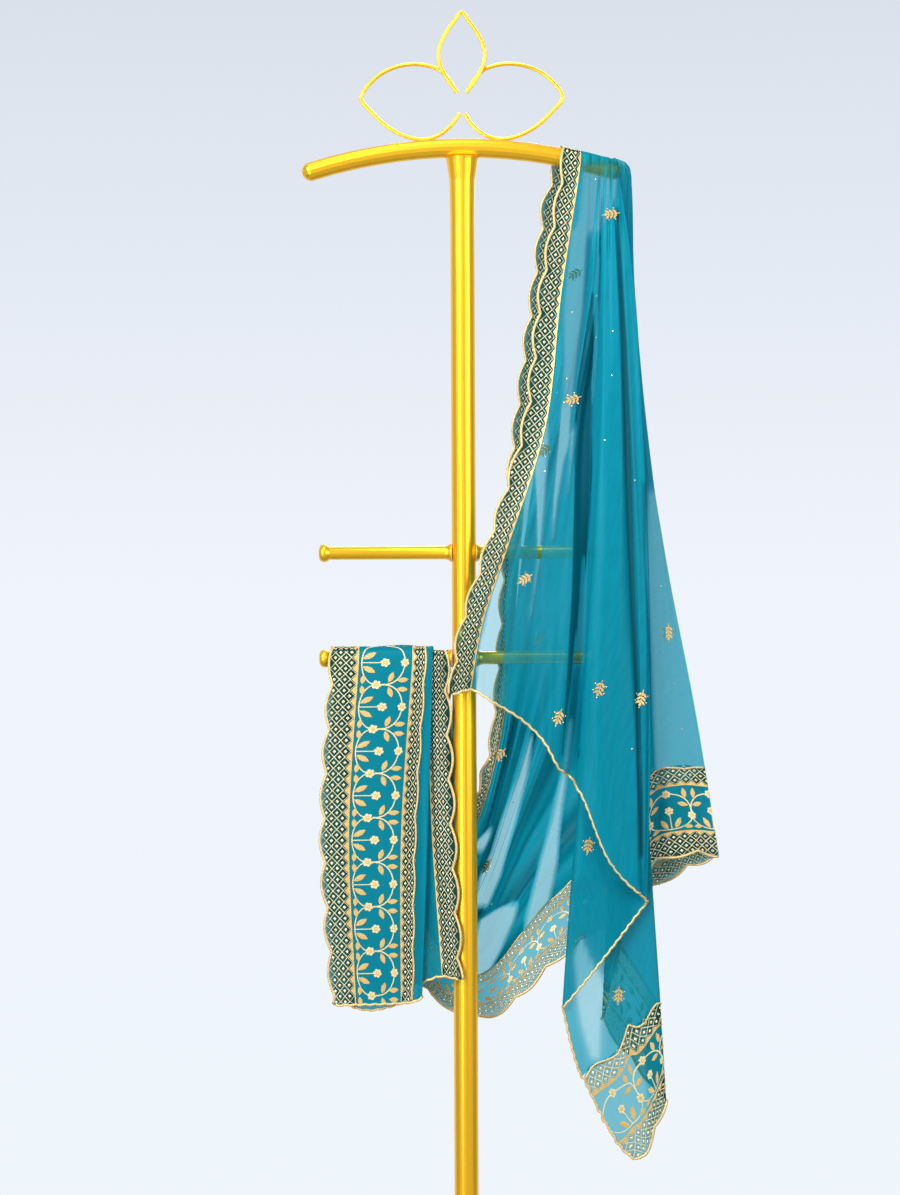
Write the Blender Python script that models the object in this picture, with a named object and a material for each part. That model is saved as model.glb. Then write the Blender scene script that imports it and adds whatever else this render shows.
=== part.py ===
"""A dupatta stole draped on a garment stand: sheer cloth, 1.07 m by 2.25 m, with scalloped borders.

One end falls in front of the top bar, the middle swags behind the pole, and the other end hangs folded over a
lower arm. Metres, +Z up, the viewer looks along +Y, and the origin is under the pole on the floor.
"""

import math

import bpy
import numpy as np

MM = 0.001

# Sizes of the stand, in millimetres
POLE_R = 16.0
POLE_TOP_R = 22.0  # the flare that carries the top bar
BASE_R = 180.0
BASE_THICK = 12.0
HUB_R = 27.0
HUB_TALL = 34.0
BAR_R = 12.5
BAR_Z = 1516.0  # axis of the bar above the pole
BAR_BEND_R = 680.0
BAR_HALF = 212.0
BAR_CAP = 10.0  # length of the rounded end
ARM_R = 8.7
ARM_TO = 180.0
KNOB_R = 12.0
KNOB_LONG = 13.0
FLANGE_R = 12.5
UPPER_ARM_Z = 978.0
LOWER_ARM_Z = 838.0
WIRE_R = 2.6
PETAL_BACK = 5.6  # the side petals stand this far behind the middle one

# Sizes of the stole, in millimetres
WALL = 1.2
SEAM = 0.3  # each piece stops this far from the seam line
SCALLOP_PITCH = 58.7
SCALLOP_DEEP = 5.0
OFF_BAR = BAR_R + 1.4 + WALL / 2
FOLD_HALF = 2.0  # half the gap inside a fold that turns back on itself
RIDGE_HALF = 0.9
BEND = 15  # samples of a front line that lie on the bar
ARM_LAYERS = [ARM_R + 1.2 + WALL / 2 + k * (WALL + 1.4) for k in range(3)]

# Heights at which a front fold line is stated
Z_TOP, Z_HIGH, Z_CHEST, Z_WAIST = 1471.0, 1317.0, 1144.0, 971.0

# The front fall. A row is one fold line, from the narrow border to the ridge under the bar's end.
# bar: x on the bar's crest. side: x level with its axis. lift: how far it stands off the bar there.
# Then x and y at the four heights below the bar, then at the middle of the rest, then the hem, then
# how far the wide border reaches up from the hem, and 1 if the cloth turns back on itself there.
FRONT_COLUMNS = ("bar", "side", "lift", "x1", "y1", "x2", "y2", "x3", "y3", "x4", "y4",
                 "hem_x", "hem_y", "hem_z", "border", "turn")
FRONT = {
    "narrow_edge": (131, 130, 1, 97, -24, 75, -30, 27, -34, -1, -32, -16, -29, 791, 0, 0),
    "narrow_seam": (158, 158, 1, 131, -22, 110, -29, 54, -36, 25, -35, 9, -29, 797, 0, 0),
    "sheer_crest": (167, 167, 3, 154, -27, 123, -35, 70, -38, 50, -39, 40, -33, 780, 0, 0),
    "sheer_hollow": (173, 173, 1, 163, -21, 132, -27, 92, -28, 84, -30, 79, -34, 755, 0, 0),
    "sheer_swell": (178, 178, 3, 170, -26, 141, -34, 117, -36, 112, -38, 108, -39, 724, 0, 0),
    "sheer_side": (182, 182, 2, 178, -24, 152, -32, 143, -37, 133, -40, 124, -41, 694, 0, 0),
    "recess": (185, 185, 1, 183, -19, 170, -22, 164, -25, 156, -28, 138, -32, 683, 0, 0),
    "column_left": (188, 188, 3, 183, -29, 179, -38, 168, -46, 158, -51, 152, -53, 663, 0, 0),
    "column_face": (191.5, 191.5, 5, 194, -33, 196, -43, 192, -54, 189, -60, 189, -62, 573, 0, 0),
    "column_crease": (195, 196, 4, 205, -29, 212, -37, 217, -46, 225, -53, 224, -57, 533, 0, 0),
    "second_face": (198, 200, 5, 214, -27, 222, -36, 231, -45, 232, -51, 230, -52, 529, 0, 0),
    "second_side": (201, 204, 9.5, 225, -25, 235, -31, 240, -40, 244, -45, 239, -45, 519, 0, 1),
    "under_mid": (203.5, 206.5, 6.5, 216, -20, 212, -26, 207, -34, 200, -40, 188, -41, 453, 0, 0),
    "under_left": (206, 209, 4.2, 207, -16.5, 188, -22, 178, -29, 153, -36, 128, -37, 380, 0, 1),
    "border_start": (208, 211.5, 2.5, 211, -13, 201, -17, 192, -24, 165, -31, 153, -33, 286, 6, 0),
    "point": (209.5, 214, 1, 217, -11, 215, -14, 214, -20.5, 209, -28, 221, -29, 177, 180, 0),
    "point_right": (211.3, 217, -0.8, 224, -8.5, 234, -11, 238, -17.5, 243, -23, 262, -25, 258, 124, 1),
    "inner_left": (213.4, 219.5, -4, 216, -3.5, 213, -5, 211, -12, 199, -16, 180, -18, 363, 123, 1),
    "panel_left": (215, 222, -7.5, 222, 0, 233, 0, 238, -4, 240, -8, 247, -10, 566, 114, 0),
    "panel_mid": (216, 223.5, -11, 226, 1, 241, -2, 258, -5, 275, -10, 292, -13, 581, 114, 0),
    "ridge": (217, 0, 0, 229, 3, 243, 3, 269, 2, 305, 2, 336.5, 0, 578.6, 114, 0),
}

# The back fall, the swag and the end over the lower left arm. A row is one line along the cloth, from its
# start on the bar or on the ridge to the hem of the hanging end, with the wide edge first.
# start: x on the bar, or a height on the ridge. Then five points down, under and up; the place along the
# arm and its layer there; x and y halfway down the hanging end; the hem; 1 where the cloth turns back.
BACK_COLUMNS = ("start", "x1", "y1", "z1", "x2", "y2", "z2", "x3", "y3", "z3", "x4", "y4", "z4",
                "x5", "y5", "z5", "arm", "layer", "fall_x", "fall_y", "hem_x", "hem_y", "hem_z", "turn")
BACK = {
    "wide_edge": (578.6, 283, 20, 553, 133, 44, 443, 20, 52, 356, -112, 50, 463, -166, 26, 716,
                  -172, 2, -185, -24, -172, -25, 381, 0),
    "wide_seam": (691.6, 236, 26, 622, 110, 48, 505, 14, 56, 407, -52, 57, 470, -66, 33, 700,
                  -50, 2, -64, -24, -69, -26, 386, 0),
    "fold_right": (782, 226, 30, 690, 98, 42, 545, 8, 44, 432, -36, 49, 500, -50, 28.5, 705,
                   -42, 2, -49, -21, -58, -23, 391, 1),
    "under_a": (968, 205, 34, 780, 88, 52, 585, 6, 54, 452, -30, 44, 530, -70, 26, 710,
                -85, 1, -90, -18, -88, -20, 382, 0),
    "under_b": (1154, 180, 36, 880, 80, 42, 620, 6, 41, 474, -31, 34.5, 562, -94, 20.8, 715,
                -122, 1, -128, -17.5, -125, -19, 374, 0),
    "fold_left": (1350, 162, 35, 950, 73, 50, 648, 6, 50, 496, -33, 26.5, 592, -116, 16.4, 720,
                  -158, 1, -166, -15, -150, -17, 378, 1),
    "below_tip": (1478, 152, 33, 985, 69, 42, 662, 6, 41, 509, -30, 22, 608, -104, 13, 724,
                  -140, 0, -143, -12.3, -136, -14, 388, 0),
    "inner_a": (1490, 142, 31, 1000, 65, 37, 674, 7, 37, 523, -30, 22, 620, -90, 13.5, 726,
                -122, 0, -118, -11.8, -116, -13.5, 396, 0),
    "tip": (214, 131, 29.5, 1000, 61, 39.5, 682, 7.5, 40, 535, -27, 25.5, 629, -79, 14.5, 724,
            -107, 0, -103, -11.6, -102, -13.3, 400, 0),
    "inner_b": (203, 120, 28, 1000, 58, 42, 690, 8, 44, 548, -26, 24, 640, -70, 14.5, 725,
                -92, 0, -88, -11.5, -88, -13, 404, 0),
    "inner_c": (181, 98, 22, 990, 50, 28, 700, 9, 28, 580, -22, 22, 655, -52, 14.5, 730,
                -68, 0, -66, -12, -58, -14, 410, 0),
    "narrow_seam": (158, 80, 19, 985, 44, 22, 705, 10, 23, 612, -16, 21, 665, -36, 15, 740,
                    -50, 0, -46, -13, -32, -18, 418, 0),
    "narrow_edge": (131, 61, 18, 982, 33, 20.5, 700, 8, 21.5, 640, -10, 20.5, 690, -20, 17, 750,
                    -27, 0, -20, -15.5, -10, -22, 414, 0),
}


def spline(points, counts):
    """Points on a smooth curve through points, each span cut into its count of steps."""
    p = np.asarray(points, float)
    p = np.vstack([2 * p[0] - p[1], p, 2 * p[-1] - p[-2]])
    step = np.sqrt(np.maximum(np.linalg.norm(np.diff(p, axis=0), axis=1), 1e-4))
    knot = np.concatenate([[0], np.cumsum(step)])
    out = [p[1]]
    for i, count in enumerate(counts):
        k, q = knot[i : i + 4], p[i : i + 4]
        for t in np.linspace(k[1], k[2], count + 1)[1:]:
            a = [((k[j + 1] - t) * q[j] + (t - k[j]) * q[j + 1]) / (k[j + 1] - k[j]) for j in range(3)]
            b = [((k[j + 2] - t) * a[j] + (t - k[j]) * a[j + 1]) / (k[j + 2] - k[j]) for j in range(2)]
            out.append(((k[2] - t) * b[0] + (t - k[1]) * b[1]) / (k[2] - k[1]))
    return np.array(out)


def along(line, first, last, count):
    """count + 1 points spread evenly on a polyline between two lengths along it."""
    length = np.concatenate([[0], np.cumsum(np.linalg.norm(np.diff(line, axis=0), axis=1))])
    at = np.linspace(first, last, count + 1)
    return np.stack([np.interp(at, length, line[:, k]) for k in range(3)], axis=1)


def length_of(line):
    return float(np.linalg.norm(np.diff(line, axis=0), axis=1).sum())


def bar_axis_z(x):
    return BAR_Z - BAR_BEND_R + math.sqrt(BAR_BEND_R**2 - x**2)


def over_bar(x, angle, lift=0.0):
    """A point of the cloth on the bar, where angle is 90 on the crest and 180 in front."""
    straight = BAR_HALF - BAR_CAP
    radius = OFF_BAR * math.sqrt(max(0.3, 1 - (max(0.0, x - straight) / (BAR_CAP + 10)) ** 2)) + lift
    a = math.radians(angle)
    return (x, radius * math.cos(a), bar_axis_z(min(x, straight)) + radius * math.sin(a))


def tip_points(side):
    """The ridge where it goes over the round end of the bar. side is -1 in front and 1 behind."""
    z = bar_axis_z(BAR_HALF)
    return [(BAR_HALF + dx, side * RIDGE_HALF, z + dz) for dx, dz in ((5, 9), (10, 3), (12, -5), (13, -19))]


def over_arm(x, angle, radius):
    a = math.radians(angle)
    return (x, radius * math.cos(a), LOWER_ARM_Z + radius * math.sin(a))


def turned(line, share, way, first_dx=0.0):
    """The two edges of a fold that turns back on itself, from one fold line."""
    pair = []
    for side in (-way, way):
        moved = [(x, y + side * FOLD_HALF * k, z) for (x, y, z), k in zip(line, share)]
        for j, part in enumerate((1, 1.4, 1.2, 0.6)):
            x, y, z = moved[j]
            moved[j] = (x + side * way * first_dx * part, y, z)
        pair.append(moved)
    return pair


def front_lines():
    lines, border = [], []
    for name, row in FRONT.items():
        r = dict(zip(FRONT_COLUMNS, row))
        if name == "ridge":
            line = tip_points(-1)
        else:
            side_z = bar_axis_z(min(r["side"], BAR_HALF - BAR_CAP))
            side_y = -(OFF_BAR + r["lift"])
            crest = over_bar(r["bar"], 90.7)
            shoulder = ((r["bar"] + r["side"]) / 2, side_y * 0.72, side_z + (OFF_BAR + 0.4 * r["lift"]) * 0.72)
            line = [crest, shoulder, (r["side"], side_y, side_z),
                    (r["side"] + 0.12 * (r["x1"] - r["side"]), side_y + 0.15 * (r["y1"] - side_y), Z_TOP)]
        line += [(r["x1"], r["y1"], Z_HIGH), (r["x2"], r["y2"], Z_CHEST), (r["x3"], r["y3"], Z_WAIST),
                 (r["x4"], r["y4"], (Z_WAIST + r["hem_z"]) / 2), (r["hem_x"], r["hem_y"], r["hem_z"])]
        pair = turned(line, (0, 0.1, 0.25, 0.35, 0.8, 1, 1, 1, 1), 1, 0.5) if r["turn"] else [line]
        lines += pair
        border += [r["border"]] * len(pair)
    return lines, border


def ridge_line():
    """The back half of the ridge, which the front half mirrors."""
    r = dict(zip(FRONT_COLUMNS, FRONT["ridge"]))
    line = tip_points(1)
    for x, y, z in ((r["x1"], r["y1"], Z_HIGH), (r["x2"], r["y2"], Z_CHEST), (r["x3"], r["y3"], Z_WAIST),
                    (r["x4"], r["y4"], (Z_WAIST + r["hem_z"]) / 2), (r["hem_x"], r["hem_y"], r["hem_z"])):
        line.append((x, y + 2 * RIDGE_HALF, z))
    return spline(line, [6] * (len(line) - 1))


def back_lines():
    ridge = ridge_line()
    swag, fall = [], []
    for name, row in BACK.items():
        r = dict(zip(BACK_COLUMNS, row))
        if r["start"] > 250:
            start = tuple(np.interp(-r["start"], -ridge[:, 2], ridge[:, k]) for k in range(3))
        else:
            start = over_bar(r["start"], 89.3)
        first = (r["x1"], r["y1"], r["z1"])
        if r["start"] == 214:
            z = bar_axis_z(BAR_HALF)
            start = tip_points(1)[0]
            near = [(BAR_HALF + 6, 8, z + 7), (BAR_HALF + 3, 14, z - 2)]
        elif r["start"] > 250:
            near = [tuple(a + (b - a) * t for a, b in zip(start, first)) for t in (0.06, 0.13)]
        else:
            near = [over_bar(r["start"], 45), over_bar(r["start"] - 1, 0)]
        line = [start] + near + [(r["x%d" % k], r["y%d" % k], r["z%d" % k]) for k in range(1, 6)]
        radius = ARM_LAYERS[r["layer"]]
        low, high = (ARM_LAYERS[r["layer"] - 1], radius) if r["turn"] else (radius, radius)
        over = [over_arm(r["arm"], angle, (low + high) / 2) for angle in (0, 45, 88, 92, 135, 180)]
        line += over[:3]
        hang = over[3:] + [(r["fall_x"], r["fall_y"], (LOWER_ARM_Z + r["hem_z"]) / 2),
                           (r["hem_x"], r["hem_y"], r["hem_z"])]
        if r["turn"]:
            share = (0, 0, 0, 0, 0, 0.1, 0.5, 1, 0, 0, 0)
            pair = turned(line, share, -1)
            for k, way in ((0, -1), (1, 1)):
                pair[k] = [(x, y, z + way * 4 * (1 - t) * (0 < j < 8)) for j, ((x, y, z), t) in
                           enumerate(zip(pair[k], share))]
            hang_pair = turned(hang, (0, 0, 0, 1, 1), 1)
            for k, size in ((0, high), (1, low)):
                over = [over_arm(r["arm"], angle, size) for angle in (0, 45, 88, 92, 135, 180)]
                pair[k][-3:] = over[:3]
                hang_pair[k][:3] = over[3:]
            if r["start"] > 250:
                for k, up in ((0, -3), (1, 3)):
                    near = r["start"] + up
                    pair[k][0] = tuple(np.interp(-near, -ridge[:, 2], ridge[:, j]) for j in range(3))
            swag += pair
            fall += hang_pair
        else:
            swag.append(line)
            fall.append(hang)
    return swag, fall


def across(rows, counts):
    """A grid of points from sampled lines, smoothed across them."""
    rows = np.asarray(rows)
    return np.stack([spline(rows[:, k], counts) for k in range(rows.shape[1])], axis=1)


def pull(grid, rim, distance=SEAM):
    """Moves one rim of a grid inward, so that the piece stops short of its seam line."""
    g = grid.copy()
    edge, inner = {"first": (g[0], g[1]), "last": (g[-1], g[-2]),
                   "top": (g[:, 0], g[:, 1]), "end": (g[:, -1], g[:, -2])}[rim]
    way = inner - edge
    size = np.maximum(np.linalg.norm(way, axis=-1, keepdims=True), 1e-6)
    run = np.gradient(edge, axis=0)
    run /= np.maximum(np.linalg.norm(run, axis=-1, keepdims=True), 1e-6)
    slant = np.linalg.norm(np.cross(way / size, run), axis=-1, keepdims=True)
    edge += way / size * np.minimum(distance / np.maximum(slant, 0.12), size * 0.45)
    return g


def scallop_rim(grid, rim, start=0.0):
    """Scallops a rim in the plane of the cloth, with the same pitch all along it."""
    g = grid if rim in ("first", "last") else np.swapaxes(grid, 0, 1)
    g = g if rim in ("first", "top") else g[::-1]
    g = g.copy()
    run = np.concatenate([[0], np.cumsum(np.linalg.norm(np.diff(g[0], axis=0), axis=1))])
    wave = np.abs(np.sin(math.pi * run / SCALLOP_PITCH)) * SCALLOP_DEEP * np.clip((run - start) / 8 + 1, 0, 1)
    out = g[0] - g[1]
    out /= np.maximum(np.linalg.norm(out, axis=1, keepdims=True), 1e-6)
    g[0] += out * (wave * (run >= start))[:, None]
    g = g if rim in ("first", "top") else g[::-1]
    return g if rim in ("first", "last") else np.swapaxes(g, 0, 1)


def material(name, color, roughness, metallic=0.0, alpha=1.0):
    mat = bpy.data.materials.new(name)
    mat.use_nodes = True
    bsdf = mat.node_tree.nodes["Principled BSDF"]
    bsdf.inputs["Base Color"].default_value = (*color, 1.0)
    bsdf.inputs["Roughness"].default_value = roughness
    bsdf.inputs["Metallic"].default_value = metallic
    bsdf.inputs["Alpha"].default_value = alpha
    return mat


def add_object(name, vertices, faces, mat):
    mesh = bpy.data.meshes.new(name)
    mesh.from_pydata([tuple(float(c) * MM for c in v) for v in vertices], [], [tuple(map(int, f)) for f in faces])
    mesh.materials.append(mat)
    obj = bpy.data.objects.new(name, mesh)
    bpy.context.scene.collection.objects.link(obj)
    v = np.asarray(vertices, float)
    tri = np.array([(f[0], f[i], f[i + 1]) for f in faces for i in range(1, len(f) - 1)])
    if np.einsum("ij,ij->", v[tri[:, 0]], np.cross(v[tri[:, 1]], v[tri[:, 2]])) < 0:
        mesh.flip_normals()
    mesh.update()
    return obj


def facing(grid, axis):
    """The direction of a grid along one axis, which halves the angle at each corner."""
    g = grid if axis == 0 else np.swapaxes(grid, 0, 1)
    way = np.diff(g, axis=0)
    way /= np.maximum(np.linalg.norm(way, axis=2, keepdims=True), 1e-6)
    out = np.concatenate([way[:1], way[:-1] + way[1:], way[-1:]])
    return out if axis == 0 else np.swapaxes(out, 0, 1)


def cloth(name, grid, mat, wall=WALL):
    """A closed sheet of even wall on both sides of a grid of points."""
    normal = np.cross(facing(grid, 0), facing(grid, 1))
    normal /= np.maximum(np.linalg.norm(normal, axis=2, keepdims=True), 1e-9)
    nu, nv = grid.shape[:2]
    vertices = np.concatenate([(grid + normal * wall / 2).reshape(-1, 3), (grid - normal * wall / 2).reshape(-1, 3)])
    ident = np.arange(nu * nv).reshape(nu, nv)
    faces = []
    for i in range(nu - 1):
        for j in range(nv - 1):
            a, b, c, d = ident[i, j], ident[i + 1, j], ident[i + 1, j + 1], ident[i, j + 1]
            short = np.linalg.norm(grid[i, j] - grid[i + 1, j + 1]) < np.linalg.norm(grid[i + 1, j] - grid[i, j + 1])
            for tri in ((a, b, c), (a, c, d)) if short else ((a, b, d), (b, c, d)):
                faces.append(tri)
                faces.append(tuple(nu * nv + k for k in reversed(tri)))
    rim = list(ident[:, 0]) + list(ident[-1, 1:]) + list(ident[-2::-1, -1]) + list(ident[0, -2:0:-1])
    for a, b in zip(rim, rim[1:] + rim[:1]):
        faces.append((b, a, a + nu * nv, b + nu * nv))
    return add_object(name, vertices, faces, mat)


def lathe(name, profile, mat, sides=32, axis="z", centre=(0, 0, 0)):
    """A turned solid from (radius, height) pairs that start and end on the axis."""
    vertices, rings, faces = [], [], []
    for radius, height in profile:
        ring = []
        for k in range(1 if radius == 0 else sides):
            a = 2 * math.pi * k / sides
            x, y, z = radius * math.cos(a), radius * math.sin(a), height
            x, y, z = (x, y, z) if axis == "z" else (z, x, y)
            ring.append(len(vertices))
            vertices.append((x + centre[0], y + centre[1], z + centre[2]))
        rings.append(ring)
    for low, high in zip(rings, rings[1:]):
        for k in range(sides):
            n = (k + 1) % sides
            if len(low) == 1:
                faces.append((low[0], high[n], high[k]))
            elif len(high) == 1:
                faces.append((low[k], low[n], high[0]))
            else:
                faces.append((low[k], low[n], high[n], high[k]))
    return add_object(name, vertices, faces, mat)


def tube(name, path, radii, mat, sides=12):
    """A round tube along a path in the XZ plane."""
    path = np.asarray(path, float)
    way = np.gradient(path, axis=0)
    way /= np.linalg.norm(way, axis=1, keepdims=True)
    across_way = np.cross(way, (0, 1, 0))
    vertices, rings = [], []
    for p, n, r in zip(path, across_way, radii):
        ring = []
        for k in range(sides):
            a = 2 * math.pi * k / sides
            ring.append(len(vertices))
            vertices.append(p + r * (math.cos(a) * n + math.sin(a) * np.array((0, 1, 0))))
        rings.append(ring)
    faces = [(a[k], a[(k + 1) % sides], b[(k + 1) % sides], b[k]) for a, b in zip(rings, rings[1:]) for k in range(sides)]
    faces += [tuple(reversed(rings[0])), tuple(rings[-1])]
    return add_object(name, vertices, faces, mat)


def build_stand(gold):
    top = bar_axis_z(POLE_TOP_R) - BAR_R - 0.3
    lathe("stand_base", [(0, 0), (BASE_R - 2, 0), (BASE_R, 2), (BASE_R, BASE_THICK - 3), (BASE_R - 4, BASE_THICK),
                         (0, BASE_THICK)], gold, 48)
    low = BASE_THICK + 0.3
    lathe("stand_hub", [(0, low), (HUB_R + 6, low), (HUB_R + 6, low + 2), (HUB_R, low + 6),
                        (HUB_R - 2, low + HUB_TALL), (0, low + HUB_TALL)], gold, 32)
    foot = low + HUB_TALL + 0.3
    lathe("stand_pole", [(0, foot), (POLE_R, foot), (POLE_R, top - 80), (POLE_R + 1, top - 30),
                         (POLE_TOP_R - 1, top - 4), (POLE_TOP_R, top), (0, top)], gold, 32)
    xs = np.concatenate([[-BAR_HALF, -BAR_HALF + 3, -BAR_HALF + 7], np.linspace(-BAR_HALF + BAR_CAP, BAR_HALF - BAR_CAP, 15),
                         [BAR_HALF - 7, BAR_HALF - 3, BAR_HALF]])
    radii = [BAR_R * math.sqrt(max(0.12, 1 - (max(0, abs(x) - BAR_HALF + BAR_CAP) / BAR_CAP) ** 2)) for x in xs]
    tube("stand_top_bar", [(x, 0, bar_axis_z(x)) for x in xs], radii, gold, 16)
    middle = [(-5.8, 1590), (-18, 1606), (-29, 1628), (-30.5, 1646), (-22, 1667), (-9, 1686), (0, 1697)]
    middle += [(-x, z) for x, z in middle[-2::-1]]
    side = [(-6.9, 1591), (-17.3, 1609), (-29.3, 1621), (-43.9, 1626.6), (-65.2, 1629), (-91.8, 1624),
            (-115.7, 1610), (-134.5, 1584), (-121, 1566), (-101, 1547), (-77, 1533.5), (-53, 1528.6), (-32, 1533.5),
            (-14.6, 1547), (-3.0, 1563)]
    petals = (("lotus_middle_petal", middle, 0.0, 1), ("lotus_left_petal", side, PETAL_BACK, 1),
              ("lotus_right_petal", side, PETAL_BACK, -1))
    for name, outline, back, mirror in petals:
        path = spline([(x * mirror, back, z) for x, z in outline], [3] * (len(outline) - 1))
        tube(name, path, [WIRE_R] * len(path), gold, 8)
    for name, height in (("upper", UPPER_ARM_Z), ("lower", LOWER_ARM_Z)):
        for side_name, way in (("left", -1), ("right", 1)):
            start, knob = POLE_R + 0.3, ARM_TO
            profile = [(0, start), (FLANGE_R, start), (FLANGE_R, start + 1.5), (ARM_R, start + 5), (ARM_R, knob),
                       (KNOB_R, knob + 1), (KNOB_R, knob + KNOB_LONG - 3), (KNOB_R - 3, knob + KNOB_LONG),
                       (0, knob + KNOB_LONG)]
            lathe("%s_%s_arm" % (name, side_name), [(r, way * h) for r, h in profile], gold, 20, "x", (0, 0, height))


def refine(grid, axis, pieces):
    """Cuts each step of a grid into straight pieces along one axis."""
    g = grid if axis == 0 else np.swapaxes(grid, 0, 1)
    out = [g[0]]
    for k, count in enumerate(pieces):
        out += [g[k] + (g[k + 1] - g[k]) * t for t in np.linspace(0, 1, count + 1)[1:]]
    out = np.array(out)
    return out if axis == 0 else np.swapaxes(out, 0, 1)


def row_names(table):
    return [name for name, row in table.items() for _ in range(2 if row[-1] else 1)]


def steps_between(names, long_spans=()):
    """Steps across the cloth between neighbouring fold lines: one inside a turned fold."""
    return [1 if a == b else dict(long_spans).get(a, 2) for a, b in zip(names, names[1:])]


def build_front(sheer, net):
    lines, border = front_lines()
    fine = [spline(line, [6, 6, 3] + [5] * (len(line) - 4)) for line in lines]
    names = row_names(FRONT)
    ground, band = [], []
    for line, deep in zip(fine, border):
        total = length_of(line)
        bend = length_of(line[:BEND + 1])
        ground.append(np.vstack([line[:BEND:3], along(line, bend, total - deep, 12)]))
        band.append(along(line, total - deep, total, 4))
    step = steps_between(names, {"point_right": 3, "inner_left": 4})
    whole = across(ground, step)
    narrow = refine(whole[:3], 1, [1] * 5 + [4] * 12)
    cloth("front_fall", pull(pull(whole[2:], "first"), "end"), sheer)
    cloth("front_narrow_border", scallop_rim(pull(narrow, "last"), "first"), net)
    first = names.index("border_start")
    wide = pull(across(band, step)[sum(step[:first]):], "top")
    reach = np.linalg.norm(np.diff(wide[:, -1], axis=0), axis=1)
    wide = refine(wide, 0, [max(1, round(r / 12.0)) for r in reach])
    cloth("front_wide_border", scallop_rim(wide, "end", start=float(reach[:step[first]].sum())), net)


def build_back(sheer, net):
    names = row_names(BACK)
    step = steps_between(names)
    swag, fall = back_lines()
    for lines, counts, finer, titles in (
            (swag, (2, 2, 4, 4, 4, 4, 3, 3, 2, 2), (1, 1, 5, 4, 3, 3, 3, 3, 1, 1),
             ("back_swag", "swag_wide_border", "swag_narrow_border")),
            (fall, (2, 2, 4, 4), (1, 1, 5, 4), ("arm_fall", "arm_wide_border", "arm_narrow_border"))):
        grid = across([spline(line, counts) for line in lines], step)
        pieces = [f for f, c in zip(finer, counts) for _ in range(c)]
        cloth(titles[0], pull(pull(grid[2:-2], "first"), "last"), sheer)
        wide = refine(refine(pull(grid[:3], "last"), 1, pieces), 0, [2, 1])
        cloth(titles[1], scallop_rim(wide, "first"), net)
        narrow = refine(pull(grid[-3:], "first"), 1, pieces)
        cloth(titles[2], scallop_rim(narrow, "last"), net)


for old in list(bpy.data.objects):
    bpy.data.objects.remove(old, do_unlink=True)
build_stand(material("gold_paint", (0.83, 0.52, 0.10), 0.38, 0.85))
georgette = material("teal_georgette", (0.02, 0.36, 0.46), 0.7)
embroidered = material("embroidered_net", (0.05, 0.33, 0.36), 0.6)
build_front(georgette, embroidered)
build_back(georgette, embroidered)
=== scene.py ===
"""The looks of a teal dupatta stole with gold embroidery, draped on a gold garment stand.

The cloth is rebuilt as fine sheer sheets on the same fold lines as the frame's solids, and the embroidery,
beads and piping are laid on the sheets. Lengths are in millimetres until a mesh is made.
"""

import math

import bpy
import numpy as np
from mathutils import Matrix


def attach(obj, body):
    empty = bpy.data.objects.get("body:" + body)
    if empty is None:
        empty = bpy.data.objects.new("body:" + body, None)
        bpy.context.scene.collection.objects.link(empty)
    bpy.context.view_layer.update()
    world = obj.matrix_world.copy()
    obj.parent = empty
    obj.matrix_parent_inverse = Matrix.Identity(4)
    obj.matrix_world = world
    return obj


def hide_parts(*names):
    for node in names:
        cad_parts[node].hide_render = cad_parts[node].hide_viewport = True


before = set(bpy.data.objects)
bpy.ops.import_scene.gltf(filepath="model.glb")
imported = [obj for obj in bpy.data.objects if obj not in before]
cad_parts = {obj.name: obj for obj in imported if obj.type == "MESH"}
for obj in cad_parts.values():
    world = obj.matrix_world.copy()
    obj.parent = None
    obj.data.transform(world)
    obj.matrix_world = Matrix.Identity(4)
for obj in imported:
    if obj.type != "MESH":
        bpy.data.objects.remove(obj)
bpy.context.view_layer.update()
MM = 0.001

# Sizes repeated from the solids
BAR_TIP_START, BAR_START_MAX = 214, 250  # a start on the bar's tip, and the limit of starts along the bar
BAR_R, BAR_Z, BAR_BEND_R, BAR_HALF, BAR_CAP = 12.5, 1516.0, 680.0, 212.0, 10.0
ARM_R, UPPER_ARM_Z, LOWER_ARM_Z = 8.7, 978.0, 838.0
WALL = 1.2  # the solid cloth's thickness
OFF_BAR = BAR_R + 1.4 + WALL / 2  # from the bar's axis to the middle of the cloth
FOLD_HALF, RIDGE_HALF = 2.0, 0.9  # half the gap inside a fold that turns back, and inside the ridge
ARM_LAYERS = [ARM_R + 1.2 + WALL / 2 + k * (WALL + 1.4) for k in range(3)]
OVER_ARM = (0, 45, 88, 92, 135, 180)  # degrees round the arm, from behind it to its front
ROUND_BAR = 0.72  # the share of the bar's radius at the shoulder of a fold line
NARROW, WIDE = 35.0, 123.0  # widths of the two borders
OUTER, FLORAL = 30.0, 65.0  # the wide border's outer band of diamonds, and its vine
PITCH, SCALLOP, INNER_SCALLOP = 58.7, 7.0, 5.0  # one scallop's length, and how deep the two edges are
INNER_MARGIN = 6.0  # from the inner scallops' low points to the seam
DIAMOND, ROW = PITCH / 4, 6.7  # from one diamond to the next, and from row to row
Z_TOP, Z_HIGH, Z_CHEST, Z_WAIST = 1471.0, 1317.0, 1144.0, 971.0  # the heights of the fold lines' points

# Half an arm turned on a lathe, with its collar and its knob: places out from the pole's axis, and radii
ARM_PROFILE = ((16.4, 12.4), (17.8, 12.2), (19.5, 10.8), (21.5, 9.4), (25, ARM_R), (178, ARM_R), (179.5, 9.3),
               (181, 10.6), (183, 11.5), (185.5, 11.9), (188, 11.5), (190, 10.5), (191.7, 8.6), (192.7, 5.6),
               (193, 2.0))

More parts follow.
